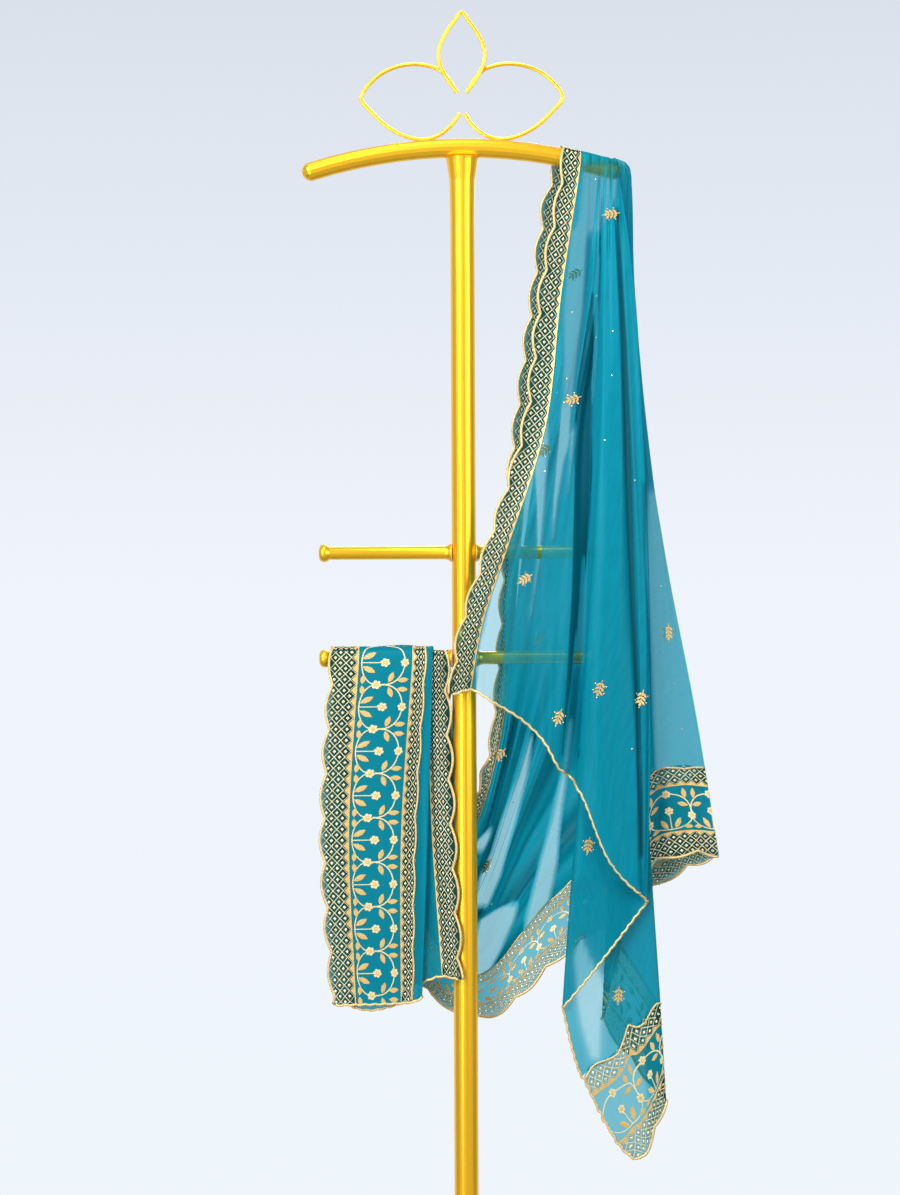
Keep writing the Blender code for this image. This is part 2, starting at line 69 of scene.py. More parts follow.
# The front fall's fold lines, from the narrow border to the ridge under the bar's end, as in the solids:
# x on the bar's crest, x and lift level with its axis, x and y at four heights and halfway down, the hem,
# the wide border's reach up from the hem, and 1 where the cloth turns back on itself.
FRONT_COLUMNS = ("bar", "side", "lift", "x1", "y1", "x2", "y2", "x3", "y3", "x4", "y4",
                 "hem_x", "hem_y", "hem_z", "border", "turn")
FRONT = {
    "narrow_edge": (131, 130, 1, 97, -24, 75, -30, 27, -34, -1, -32, -16, -29, 791, 0, 0),
    "narrow_seam": (158, 158, 1, 131, -22, 110, -29, 54, -36, 25, -35, 9, -29, 797, 0, 0),
    "sheer_crest": (167, 167, 3, 154, -27, 123, -35, 70, -38, 50, -39, 40, -33, 780, 0, 0),
    "sheer_hollow": (173, 173, 1, 163, -21, 132, -27, 92, -28, 84, -30, 79, -34, 755, 0, 0),
    "sheer_swell": (178, 178, 3, 170, -26, 141, -34, 117, -36, 112, -38, 108, -39, 724, 0, 0),
    "sheer_side": (182, 182, 2, 178, -24, 152, -32, 143, -37, 133, -40, 124, -41, 694, 0, 0),
    "recess": (185, 185, 1, 183, -19, 170, -22, 164, -25, 156, -28, 138, -32, 683, 0, 0),
    "column_left": (188, 188, 3, 183, -29, 179, -38, 168, -46, 158, -51, 152, -53, 663, 0, 0),
    "column_face": (191.5, 191.5, 5, 194, -33, 196, -43, 192, -54, 189, -60, 189, -62, 573, 0, 0),
    "column_crease": (195, 196, 4, 205, -29, 212, -37, 217, -46, 225, -53, 224, -57, 533, 0, 0),
    "second_face": (198, 200, 5, 214, -27, 222, -36, 231, -45, 232, -51, 230, -52, 529, 0, 0),
    "second_side": (201, 204, 9.5, 225, -25, 235, -31, 240, -40, 244, -45, 239, -45, 519, 0, 1),
    "under_mid": (203.5, 206.5, 6.5, 216, -20, 212, -26, 207, -34, 200, -40, 188, -41, 453, 0, 0),
    "under_left": (206, 209, 4.2, 207, -16.5, 188, -22, 178, -29, 153, -36, 128, -37, 380, 0, 1),
    "border_start": (208, 211.5, 2.5, 211, -13, 201, -17, 192, -24, 165, -31, 153, -33, 286, 6, 0),
    "point": (209.5, 214, 1, 217, -11, 215, -14, 214, -20.5, 209, -28, 221, -29, 177, 180, 0),
    "point_right": (211.3, 217, -0.8, 224, -8.5, 234, -11, 238, -17.5, 243, -23, 262, -25, 258, 124, 1),
    "inner_left": (213.4, 219.5, -4, 216, -3.5, 213, -5, 211, -12, 199, -16, 180, -18, 363, 123, 1),
    "panel_left": (215, 222, -7.5, 222, 0, 233, 0, 238, -4, 240, -8, 247, -10, 566, 114, 0),
    "panel_mid": (216, 223.5, -11, 226, 1, 241, -2, 258, -5, 275, -10, 292, -13, 581, 114, 0),
    "ridge": (217, 0, 0, 229, 3, 243, 3, 269, 2, 305, 2, 336.5, 0, 578.6, 114, 0),
}

# The back fall, the swag and the end over the arm: the start as x on the bar or z on the ridge, five points,
# the place and layer on the arm, halfway down the hanging end, its hem, and 1 where the cloth turns back.
BACK_COLUMNS = ("start", "x1", "y1", "z1", "x2", "y2", "z2", "x3", "y3", "z3", "x4", "y4", "z4",
                "x5", "y5", "z5", "arm", "layer", "fall_x", "fall_y", "hem_x", "hem_y", "hem_z", "turn")
BACK = {
    "wide_edge": (578.6, 283, 20, 553, 133, 44, 443, 20, 52, 356, -112, 50, 463, -166, 26, 716,
                  -172, 2, -185, -24, -172, -25, 381, 0),
    "wide_seam": (691.6, 236, 26, 622, 110, 48, 505, 14, 56, 407, -52, 57, 470, -66, 33, 700,
                  -50, 2, -64, -24, -69, -26, 386, 0),
    "fold_right": (782, 226, 30, 690, 98, 42, 545, 8, 44, 432, -36, 49, 500, -50, 28.5, 705,
                   -42, 2, -49, -21, -58, -23, 391, 1),
    "under_a": (968, 205, 34, 780, 88, 52, 585, 6, 54, 452, -30, 44, 530, -70, 26, 710,
                -85, 1, -90, -18, -88, -20, 382, 0),
    "under_b": (1154, 180, 36, 880, 80, 42, 620, 6, 41, 474, -31, 34.5, 562, -94, 20.8, 715,
                -122, 1, -128, -17.5, -125, -19, 374, 0),
    "fold_left": (1350, 162, 35, 950, 73, 50, 648, 6, 50, 496, -33, 26.5, 592, -116, 16.4, 720,
                  -158, 1, -166, -15, -150, -17, 378, 1),
    "below_tip": (1478, 152, 33, 985, 69, 42, 662, 6, 41, 509, -30, 22, 608, -104, 13, 724,
                  -140, 0, -143, -12.3, -136, -14, 388, 0),
    "inner_a": (1490, 142, 31, 1000, 65, 37, 674, 7, 37, 523, -30, 22, 620, -90, 13.5, 726,
                -122, 0, -118, -11.8, -116, -13.5, 396, 0),
    "tip": (214, 131, 29.5, 1000, 61, 39.5, 682, 7.5, 40, 535, -27, 25.5, 629, -79, 14.5, 724,
            -107, 0, -103, -11.6, -102, -13.3, 400, 0),
    "inner_b": (203, 120, 28, 1000, 58, 42, 690, 8, 44, 548, -26, 24, 640, -70, 14.5, 725,
                -92, 0, -88, -11.5, -88, -13, 404, 0),
    "inner_c": (181, 98, 22, 990, 50, 28, 700, 9, 28, 580, -22, 22, 655, -52, 14.5, 730,
                -68, 0, -66, -12, -58, -14, 410, 0),
    "narrow_seam": (158, 80, 19, 985, 44, 22, 705, 10, 23, 612, -16, 21, 665, -36, 15, 740,
                    -50, 0, -46, -13, -32, -18, 418, 0),
    "narrow_edge": (131, 61, 18, 982, 33, 20.5, 700, 8, 21.5, 640, -10, 20.5, 690, -20, 17, 750,
                    -27, 0, -20, -15.5, -10, -22, 414, 0),
}


def spline(points, counts):
    """Points on a smooth curve through points, each span cut into its count of steps."""
    p = np.asarray(points, float)
    p = np.vstack([2 * p[0] - p[1], p, 2 * p[-1] - p[-2]])
    step = np.sqrt(np.maximum(np.linalg.norm(np.diff(p, axis=0), axis=1), 1e-4))
    knot = np.concatenate([[0], np.cumsum(step)])
    out = [p[1]]
    for i, count in enumerate(counts):
        k, q = knot[i : i + 4], p[i : i + 4]
        for t in np.linspace(k[1], k[2], count + 1)[1:]:
            a = [((k[j + 1] - t) * q[j] + (t - k[j]) * q[j + 1]) / (k[j + 1] - k[j]) for j in range(3)]
            b = [((k[j + 2] - t) * a[j] + (t - k[j]) * a[j + 1]) / (k[j + 2] - k[j]) for j in range(2)]
            out.append(((k[2] - t) * b[0] + (t - k[1]) * b[1]) / (k[2] - k[1]))
    return np.array(out)


def unit(vectors):
    return vectors / np.maximum(np.linalg.norm(vectors, axis=-1, keepdims=True), 1e-9)


def run_of(line):
    """The length along a polyline at each of its points."""
    return np.concatenate([[0], np.cumsum(np.linalg.norm(np.diff(line, axis=0), axis=1))])


def along(line, first, last, count):
    """count + 1 points spread evenly on a polyline between two lengths along it."""
    at, run = np.linspace(first, last, count + 1), run_of(line)
    return np.stack([np.interp(at, run, line[:, k]) for k in range(3)], axis=1)


def length_of(line):
    return float(np.linalg.norm(np.diff(line, axis=0), axis=1).sum())


def bar_axis_z(x):
    return BAR_Z - BAR_BEND_R + math.sqrt(BAR_BEND_R**2 - x**2)


def over_bar(x, angle, lift=0.0):
    """A point of the cloth on the bar, where angle is 90 on the crest and 180 in front."""
    straight = BAR_HALF - BAR_CAP
    radius = OFF_BAR * math.sqrt(max(0.3, 1 - (max(0.0, x - straight) / (BAR_CAP + 10)) ** 2)) + lift
    a = math.radians(angle)
    return (x, radius * math.cos(a), bar_axis_z(min(x, straight)) + radius * math.sin(a))


def tip_points(side):
    """The ridge where it goes over the round end of the bar. side is -1 in front and 1 behind."""
    z = bar_axis_z(BAR_HALF)
    return [(BAR_HALF + dx, side * RIDGE_HALF, z + dz) for dx, dz in ((5, 9), (10, 3), (12, -5), (13, -19))]


def over_arm(x, angle, radius):
    a = math.radians(angle)
    return (x, radius * math.cos(a), LOWER_ARM_Z + radius * math.sin(a))


def turned(line, share, way, first_dx=0.0):
    """The two edges of a fold that turns back on itself, from one fold line."""
    pair = []
    for side in (-way, way):
        moved = [(x, y + side * FOLD_HALF * k, z) for (x, y, z), k in zip(line, share)]
        for j, part in enumerate((1, 1.4, 1.2, 0.6)):
            x, y, z = moved[j]
            moved[j] = (x + side * way * first_dx * part, y, z)
        pair.append(moved)
    return pair


def hanging(r):
    """The lower points of a front fold line, from the columns of its row."""
    return [(r["x1"], r["y1"], Z_HIGH), (r["x2"], r["y2"], Z_CHEST), (r["x3"], r["y3"], Z_WAIST),
            (r["x4"], r["y4"], (Z_WAIST + r["hem_z"]) / 2), (r["hem_x"], r["hem_y"], r["hem_z"])]


def front_lines():
    """The front's fold lines, and the wide border's reach up from the hem on each."""
    lines, border = [], []
    for name, row in FRONT.items():
        r = dict(zip(FRONT_COLUMNS, row))
        if name == "ridge":
            line = tip_points(-1)
        else:
            side_z = bar_axis_z(min(r["side"], BAR_HALF - BAR_CAP))
            side_y = -(OFF_BAR + r["lift"])
            crest = over_bar(r["bar"], 90.7)
            shoulder = ((r["bar"] + r["side"]) / 2, side_y * ROUND_BAR,
                        side_z + (OFF_BAR + 0.4 * r["lift"]) * ROUND_BAR)
            line = [crest, shoulder, (r["side"], side_y, side_z),
                    (r["side"] + 0.12 * (r["x1"] - r["side"]), side_y + 0.15 * (r["y1"] - side_y), Z_TOP)]
        line += hanging(r)
        pair = turned(line, (0, 0.1, 0.25, 0.35, 0.8, 1, 1, 1, 1), 1, 0.5) if r["turn"] else [line]
        lines += pair
        border += [r["border"]] * len(pair)
    return lines, border


def ridge_line():
    """The back half of the ridge, which the front half mirrors."""
    r = dict(zip(FRONT_COLUMNS, FRONT["ridge"]))
    line = tip_points(1) + [(x, y + 2 * RIDGE_HALF, z) for x, y, z in hanging(r)]
    return spline(line, [6] * (len(line) - 1))


def on_ridge(ridge, z):
    return tuple(np.interp(-z, -ridge[:, 2], ridge[:, k]) for k in range(3))


def back_lines():
    """The fold lines of the back and the swag up to the top of the arm, and those of the end over it."""
    ridge = ridge_line()
    swag, fall = [], []
    for row in BACK.values():
        r = dict(zip(BACK_COLUMNS, row))
        first, from_ridge = (r["x1"], r["y1"], r["z1"]), r["start"] > BAR_START_MAX
        if r["start"] == BAR_TIP_START:
            z = bar_axis_z(BAR_HALF)
            start = tip_points(1)[0]
            near = [(BAR_HALF + 6, 8, z + 7), (BAR_HALF + 3, 14, z - 2)]
        elif from_ridge:
            start = on_ridge(ridge, r["start"])
            near = [tuple(a + (b - a) * t for a, b in zip(start, first)) for t in (0.06, 0.13)]
        else:
            start = over_bar(r["start"], 89.3)
            near = [over_bar(r["start"], 45), over_bar(r["start"] - 1, 0)]
        line = [start] + near + [(r["x%d" % k], r["y%d" % k], r["z%d" % k]) for k in range(1, 6)]
        radius = ARM_LAYERS[r["layer"]]
        low, high = (ARM_LAYERS[r["layer"] - 1], radius) if r["turn"] else (radius, radius)
        over = [over_arm(r["arm"], angle, (low + high) / 2) for angle in OVER_ARM]
        line += over[:3]
        hang = over[3:] + [(r["fall_x"], r["fall_y"], (LOWER_ARM_Z + r["hem_z"]) / 2),
                           (r["hem_x"], r["hem_y"], r["hem_z"])]
        if r["turn"]:
            share = (0, 0, 0, 0, 0, 0.1, 0.5, 1, 0, 0, 0)
            pair = turned(line, share, -1)
            for k, way in ((0, -4), (1, 4)):  # the two edges stand apart in height below the ridge
                pair[k] = [(x, y, z + way * (1 - t) * (0 < j < 8)) for j, ((x, y, z), t) in
                           enumerate(zip(pair[k], share))]
            hang_pair = turned(hang, (0, 0, 0, 1, 1), 1)
            for k, size in ((0, high), (1, low)):
                over = [over_arm(r["arm"], angle, size) for angle in OVER_ARM]
                pair[k][-3:] = over[:3]
                hang_pair[k][:3] = over[3:]
            if from_ridge:
                for k, up in ((0, -3), (1, 3)):
                    pair[k][0] = on_ridge(ridge, r["start"] + up)
            swag += pair
            fall += hang_pair
        else:
            swag.append(line)
            fall.append(hang)
    return swag, fall


def across(rows, counts):
    """A grid of points from sampled lines, smoothed across them."""
    rows = np.asarray(rows)
    return np.stack([spline(rows[:, k], counts) for k in range(rows.shape[1])], axis=1)


def row_names(table):
    return [name for name, row in table.items() for _ in range(2 if row[-1] else 1)]


def bilinear(grid, i, j):
    """Points of a grid at fractional places along its two axes."""
    i = np.clip(i, 0, grid.shape[0] - 1.0001)
    j = np.clip(j, 0, grid.shape[1] - 1.0001)
    a, b = i.astype(int), j.astype(int)
    s, t = (i - a)[..., None], (j - b)[..., None]
    return ((grid[a, b] * (1 - s) + grid[a + 1, b] * s) * (1 - t)
            + (grid[a, b + 1] * (1 - s) + grid[a + 1, b + 1] * s) * t)


def normals_of(grid):
    return unit(np.cross(np.gradient(grid, axis=0), np.gradient(grid, axis=1)))


def crinkle(grid, waves, quiet_top=0.12):
    """Small folds along the fall: waves are (folds across, drift along, height in mm, phase)."""
    u = np.linspace(0, 1, grid.shape[0])[:, None]
    v = np.linspace(0, 1, grid.shape[1])[None, :]
    height = sum(h * np.sin(2 * math.pi * (k * u + drift * v) + phase + 1.3 * np.sin(5 * v + k))
                 for k, drift, h, phase in waves)
    height = height * np.clip(v / quiet_top, 0, 1)
    return grid + normals_of(grid) * height[..., None]


def link(obj):
    bpy.context.scene.collection.objects.link(obj)
    return obj


def mesh_piece(name, vertices, faces, mat, smooth=True, uv=None):
    mesh = bpy.data.meshes.new(name)
    mesh.from_pydata(np.asarray(vertices, float) * MM, [], faces)
    mesh.materials.append(mat)
    if smooth:
        mesh.shade_smooth()
    if uv is not None:
        layer = mesh.uv_layers.new(name="cloth")
        loops = np.empty(len(mesh.loops), dtype=np.int64)
        mesh.loops.foreach_get("vertex_index", loops)
        layer.data.foreach_set("uv", np.asarray(uv, np.float32)[loops].ravel())
    mesh.update()
    piece = link(bpy.data.objects.new(name, mesh))
    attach(piece, "root")
    return piece


def cloth_sheet(name, grid, mat, gather_and_shade):
    """A single surface through a grid of points. Its texture runs in metres along and across the cloth.

    The fourth argument gives how closely the cloth is pulled together at each point, for its shader: -1 is
    open,
    0 flat and 1 doubled; from 1 to 2 the colour darkens into painted shade, deepest at 2.
    """
    nu, nv = grid.shape[:2]
    ident = np.arange(nu * nv).reshape(nu, nv)
    faces = np.stack([ident[:-1, :-1], ident[1:, :-1], ident[1:, 1:], ident[:-1, 1:]], axis=-1).reshape(-1, 4)
    across_run = np.zeros((nu, nv))
    across_run[1:] = np.cumsum(np.linalg.norm(np.diff(grid, axis=0), axis=2), axis=0)
    along_run = np.zeros((nu, nv))
    along_run[:, 1:] = np.cumsum(np.linalg.norm(np.diff(grid, axis=1), axis=2), axis=1)
    uv = np.stack([across_run, along_run], axis=-1).reshape(-1, 2) * MM
    piece = mesh_piece(name, grid.reshape(-1, 3), faces.tolist(), mat, uv=uv)
    layer = piece.data.attributes.new("gather_and_shade", "FLOAT", "POINT")
    layer.data.foreach_set("value", np.broadcast_to(gather_and_shade, (nu, nv)).astype(np.float32).ravel())
    return piece


DOUBLED = ((0, 1), (1, 1))  # closely drawn from end to end
SHEET_STEP = 2.5  # between a band sheet's rows


class Band:
    """A strip of cloth with places stated in mm along it and in mm across it from its outer edge."""

    def __init__(self, grid, width, inset=((0.0, 0.0), (1.0, 0.0))):
        self.grid = grid  # [along, across], the outer edge first
        self.width = width
        self.run = run_of(grid[:, grid.shape[1] // 3])
        self.length = float(self.run[-1])
        self.inset = np.array(inset, float).T  # places along it, and how far in its edge lies there
        self.normal = normals_of(grid)

    def at(self, s, w, h=0.0):
        """Points s along the band, w in from its outer edge and h above it. A w below 0 is past the edge."""
        s, w = np.broadcast_arrays(np.asarray(s, float), np.asarray(w, float))
        i = np.interp(s, self.run, np.arange(len(self.run)))
        j = np.clip(w / self.width * (self.grid.shape[1] - 1), 0, self.grid.shape[1] - 1)
        inward = unit(bilinear(self.grid, i, np.ones_like(j)) - bilinear(self.grid, i, np.zeros_like(j)))
        point = bilinear(self.grid, i, j) + inward * np.minimum(w, 0)[..., None]
        return point + bilinear(self.normal, i, j) * np.asarray(h, float)[..., None]

    def scallop(self, s):
        """How far the scalloped edge stands out past the straight one."""
        return np.abs(np.sin(math.pi * s / PITCH)) * SCALLOP * (s >= 0) - np.interp(s, *self.inset)

    def inner_edge(self, s):
        """The scalloped line where the net ends and the plain cloth goes on."""
        return self.width - INNER_MARGIN + np.abs(np.sin(math.pi * s / PITCH)) * INNER_SCALLOP

    def sheet(self, name, net, cloth, lines, net_zones, closeness_and_shade=DOUBLED):
        """The strip as one sheet. lines are places across it, and net_zones the steps between them of net.

        closeness has places from left to right in mm, and how closely the cloth is drawn there.
        """
        s = np.linspace(0, self.length, max(2, int(self.length / SHEET_STEP)))[:, None]
        lines = np.array(lines, float)[None, :]
        w = np.concatenate([-self.scallop(s), lines + 0 * s, self.inner_edge(s), self.width + 0 * s], axis=1)
        w = np.maximum.accumulate(w + np.arange(w.shape[1]) * 0.05, axis=1)
        grid = self.at(s + 0 * w, w)
        gather_and_shade = np.where(w < 1.5, -0.5, np.interp(grid[..., 0], *np.array(closeness_and_shade, float).T))
        piece = cloth_sheet(name, grid, net, gather_and_shade)
        piece.data.materials.append(cloth)
        plain = [0 if k % (w.shape[1] - 1) in net_zones else 1 for k in range(len(piece.data.polygons))]
        piece.data.polygons.foreach_set("material_index", plain)
        return piece


class Spot:
    """A small flat place on a sheet, for a sprig or a bead. Its centre is MIDDLE along it."""

    MIDDLE = 100.0
    length = float("inf")

    def __init__(self, point, along_way, normal):
        self.point, self.normal = point, normal / np.linalg.norm(normal)
        self.side = unit(np.cross(self.normal, along_way))
        self.along_way = np.cross(self.side, self.normal)

    def at(self, s, w, h=0.0):
        s, w = np.asarray(s, float) - self.MIDDLE, np.asarray(w, float)
        return (self.point + s[..., None] * self.along_way + w[..., None] * self.side
                + np.asarray(h, float)[..., None] * self.normal)


LEAF_SIDE = ((0.3, 0.42), (0.6, 0.5), (0.85, 0.26))
LEAF_OUTLINE = ((0, 0), *LEAF_SIDE, (1, 0), *((x, -y) for x, y in reversed(LEAF_SIDE)))
DISC_SIDES, BEAD_SIDES = 7, 8


class Stitches:
    """Raised stitching gathered into one mesh."""

    def __init__(self, band, rise=0.55):
        self.band, self.rise = band, rise
        self.vertices, self.faces = [], []

    def patch(self, s, w, faces):
        """A flat motif laid on both sides of the cloth and closed round its rim, from places on the band."""
        s, w = np.asarray(s, float), np.asarray(w, float)
        if s.max() < 1.5 or s.min() > self.band.length - 1.5:
            return
        s = np.clip(s, 0.3, self.band.length - 0.3)
        base, n = len(self.vertices), len(s)
        self.vertices += list(self.band.at(s, w, self.rise)) + list(self.band.at(s, w, -self.rise))
        edges = set()
        for face in faces:
            self.faces.append(tuple(base + k for k in face))
            self.faces.append(tuple(base + n + k for k in reversed(face)))
            edges.update(zip(face, face[1:] + face[:1]))
        rim = sorted((a, b) for a, b in edges if (b, a) not in edges)
        self.faces += [(base + b, base + a, base + n + a, base + n + b) for a, b in rim]

    def leaf(self, s, w, angle, length, wide):
        """A pointed leaf that starts at a place and points along an angle."""
        c, d = math.cos(angle), math.sin(angle)
        x, y = (np.array(LEAF_OUTLINE) * (length, wide)).T
        self.patch(s + c * x - d * y, w + d * x + c * y, [tuple(range(len(x)))])

    def leaf_to(self, s, w, tip_s, tip_w, wide):
        """A leaf between two places, its midrib raised by a second, narrower layer of thread."""
        angle, long = math.atan2(tip_w - w, tip_s - s), math.hypot(tip_s - s, tip_w - w)
        self.leaf(s, w, angle, long, wide)
        self.rise += 0.3
        self.leaf(s, w, angle, long * 0.96, wide * 0.34)
        self.rise -= 0.3

    def ribbon(self, s, w, wide=1.3, closed=False):
        """A line of stitching along a path of places."""
        path = np.stack([np.asarray(s, float), np.asarray(w, float)], axis=1)
        way = np.roll(path, -1, axis=0) - np.roll(path, 1, axis=0) if closed else np.gradient(path, axis=0)
        way = unit(way)
        side = np.stack([-way[:, 1], way[:, 0]], axis=1) * wide / 2
        n = len(path)
        both = np.concatenate([path + side, path - side])
        count = n if closed else n - 1
        faces = [(k, n + k, n + (k + 1) % n, (k + 1) % n) for k in range(count)]
        self.patch(both[:, 0], both[:, 1], faces)

    def flower(self, s, w, radius=6.0, petals=6, turn=0.3):
        """Round petals set about a centre."""
        for k in range(petals):
            a = turn + 2 * math.pi * k / petals
            self.disc(s + math.cos(a) * radius * 0.64, w + math.sin(a) * radius * 0.64, radius * 0.36)

    def disc(self, s, w, radius):
        a = np.arange(DISC_SIDES) * 2 * math.pi / DISC_SIDES
        self.patch(s + radius * np.cos(a), w + radius * np.sin(a), [tuple(range(DISC_SIDES))])

    def bead(self, s, w, radius=1.5):
        """A round bead through the cloth: a point, three rings and a point."""
        if not 0.5 < s < self.band.length - 0.5:
            return
        n, base = BEAD_SIDES, len(self.vertices)
        s, w = np.array([s]), np.array([w])
        centre = self.band.at(s, w)[0]
        along_way = unit(self.band.at(s + 1.0, w)[0] - centre)
        up = unit(self.band.at(s, w, 1.0)[0] - centre)
        side = np.cross(up, along_way)
        turn = (2 * math.pi * np.arange(n) / n)[:, None]
        ring = np.cos(turn) * along_way + np.sin(turn) * side
        self.vertices.append(centre + up * radius * 0.95)
        for lift, size in ((0.6, 0.8), (0.0, 1.0), (-0.6, 0.8)):
            self.vertices += list(centre + radius * (up * lift + size * ring))
        self.vertices.append(centre - up * radius * 0.95)
        for k in range(n):
            m, first, last = (k + 1) % n, base + 1, base + 1 + 3 * n
            self.faces += [(base, first + k, first + m), (last, last - n + m, last - n + k)]
            for row in (first, first + n):
                self.faces.append((row + k, row + n + k, row + n + m, row + m))

    def piece(self, name, mat):
        return mesh_piece(name, self.vertices, self.faces, mat, smooth=False)


def tube_faces(rings, sides):
    """The faces of a closed tube of rings, with a flat cap at both ends."""
    faces = []
    for i in range(0, (rings - 1) * sides, sides):
        j = i + sides
        faces += [(i + k, i + (k + 1) % sides, j + (k + 1) % sides, j + k) for k in range(sides)]
    return faces + [tuple(reversed(range(sides))), tuple((rings - 1) * sides + k for k in range(sides))]


def piping(name, points, radius, mat, sides=8):
    """A round cord along a line of points."""
    p = np.asarray(points, float)
    way = unit(np.gradient(p, axis=0))
    side = unit(np.cross(way, (0.13, 1.0, 0.21)))[:, None]  # any way that the cords don't run
    up = np.cross(side[:, 0], way)[:, None]
    turn = (2 * math.pi * np.arange(sides) / sides)[None, :, None]
    rings = p[:, None] + radius * (np.cos(turn) * side + np.sin(turn) * up)
    return mesh_piece(name, rings.reshape(-1, 3), tube_faces(len(p), sides), mat)


def turned_rod(name, profile, way, height, mat, sides=40):
    """A rod turned from a profile, out from the pole to the right where way is 1 and to the left at -1."""
    a = 2 * math.pi * np.arange(sides) / sides
    rings = [np.stack([way * x + 0 * a, r * np.cos(a), height + r * np.sin(a)], axis=1) for x, r in profile]
    faces = tube_faces(len(profile), sides)
    if way > 0:
        faces = [tuple(reversed(face)) for face in faces]
    return mesh_piece(name, np.concatenate(rings), faces, mat)


def full_front():
    """The whole front fall as a fine grid, and the reach of the wide border at each of its lines."""
    lines, border = front_lines()
    rows = []
    for line in lines:
        fine = spline(line, [8, 8, 4] + [8] * (len(line) - 4))
        bend = length_of(fine[:21])  # the stretch over the bar, which has its points closer
        rows.append(np.vstack([fine[:20:2], along(fine, bend, length_of(fine), 170)]))
    names = row_names(FRONT)
    counts = [3 if a == b else 9 for a, b in zip(names, names[1:])]
    grid = across(rows, counts)
    places = np.concatenate([[0], np.cumsum(counts)])
    reach = np.interp(np.arange(grid.shape[0]), places, border)
    return grid, reach, {name: int(places[names.index(name)]) for name in FRONT}


def cut_rows(grid, first, last, count):
    """Each line of a grid between two lengths along it, which may differ from line to line."""
    return np.stack([along(line, a, b, count) for line, a, b in zip(grid, first, last)])


def corner_band(grid, tip):
    """The front's wide border in cloth places: mm from the short end, and mm in from the wide edge.

    grid holds lines from the hem up to the border's seam. Before the tip their hems are on the short end.
    """
    hem, seam = grid[:, 0], grid[:, -1]
    hem_run, seam_run = run_of(hem), run_of(seam)
    low = np.clip(1 - hem_run / hem_run[tip], 0, 1) * WIDE
    hem_s = np.clip(hem_run - hem_run[tip], 0, None)
    total = (hem_s[-1] + seam_run[-1]) / 2
    hem_s, seam_s = hem_s * total / hem_s[-1], seam_run * total / seam_run[-1]
    s_places = np.linspace(0, total, int(total / 3.5))
    columns = []
    for w in np.linspace(0, WIDE, 25):
        f = np.clip((w - low) / np.maximum(WIDE - low, 1e-6), 0, 1)
        s = hem_s + (seam_s - hem_s) * f
        s = np.where(w < low, -1.0 - (low - w), s)
        r = np.interp(s_places, np.maximum.accumulate(s + np.arange(len(s)) * 1e-7), np.arange(len(s)))
        columns.append(bilinear(grid, r, np.interp(r, np.arange(len(f)), f) * (grid.shape[1] - 1)))
    return np.stack(columns, axis=1)


def vine(stems, leaves, beads, length):
    """The flowering vine between the two bands of diamonds, one loop a repeat."""
    for k in range(int(round(length / PITCH))):
        s, w, half = (k + 0.5) * PITCH, OUTER + 2, (k + 1) * PITCH
        sweep = np.linspace(-math.pi / 2, math.pi / 2, 15)
        stems.ribbon(s + 29.3 * np.sin(sweep), w + 18.5 - 17.5 * np.cos(sweep), 1.3)
        stems.ribbon(s + 29.3 * np.sin(sweep), w + 28 + 24 * np.cos(sweep), 1.6)
        stems.ribbon([s, s, s], [w + 1, w + 12, w + 22], 1.2)
        stems.ribbon([half, half, half], [w + 23, w + 26, w + 29], 1.9)
        for flower_s, flower_w in ((s, w + 27.5), (s, w + 52), (half, w + 19)):
            stems.flower(flower_s, flower_w)
            leaves.disc(flower_s, flower_w, 2.7)
            beads.bead(flower_s, flower_w, 1.0)
        for way in (-1, 1):
            leaves.leaf_to(s + way * 4.7, w + 1.9, s + way * 13.4, w + 17, 7.0)
            leaves.leaf_to(half + way * 2.6, w + 33, half + way * 17, w + 38, 6.6)
            leaves.leaf_to(half + way * 5.6, w + 43, half + way * 6.8, w + 58.5, 6.6)
            leaves.leaf_to(half + way * 0.8, w + 2.8, half + way * 13.5, w + 4.4, 5.8)


def diamonds(stitches, beads, rows):
    """A lattice of diamonds: stitched squares on their corners, each round a bead."""
    for number, w in enumerate(rows):
        for k in range(int(stitches.band.length / DIAMOND) + 2):
            s = (k + 0.5 * (number % 2)) * DIAMOND
            if w - 3 < -stitches.band.scallop(s):
                continue
            stitches.ribbon([s - 7.05, s, s + 7.05, s], [w, w - 6.35, w, w + 6.35], 0.75, True)
            stitches.patch([s - 2.4, s, s + 2.4, s], [w, w - 2.1, w, w + 2.1], [(0, 1, 2, 3)])
            beads.bead(s, w, 1.2)


def sawtooth(stitches, w, way, tall=6.0):
    """A straight stitched line with a row of points along one side."""
    length = stitches.band.length
    n = int(length / 6)
    stitches.ribbon(np.linspace(1, length - 1, n), np.full(n, float(w)), 1.7)
    for k in range(int(length / DIAMOND)):
        s = (k + 0.5) * DIAMOND
        stitches.patch([s - DIAMOND * 0.48, s + DIAMOND * 0.48, s], [w, w, w + way * tall], [(0, 1, 2)])


def dress_wide(title, band, mats):
    """Embroiders a stretch of the wide border."""
    lattice, gold, cream, shine = Stitches(band, 0.45), Stitches(band, 0.75), Stitches(band), Stitches(band)
    diamonds(lattice, shine, [OUTER - 8.5 - ROW * k for k in range(4)])
    diamonds(lattice, shine, [OUTER + FLORAL + 7.5 + ROW * k for k in range(3)])
    sawtooth(gold, OUTER - 1, -1)
    sawtooth(gold, OUTER + FLORAL, 1)
    vine(cream, gold, shine, band.length)
    cream.piece(title + "_stems", mats["cream"])
    s = finish_dress(title, band, lattice, gold, shine, mats)
    piping(title + "_inner_cord", band.at(s, band.inner_edge(s), 0.7), 1.4, mats["cord"], 6)


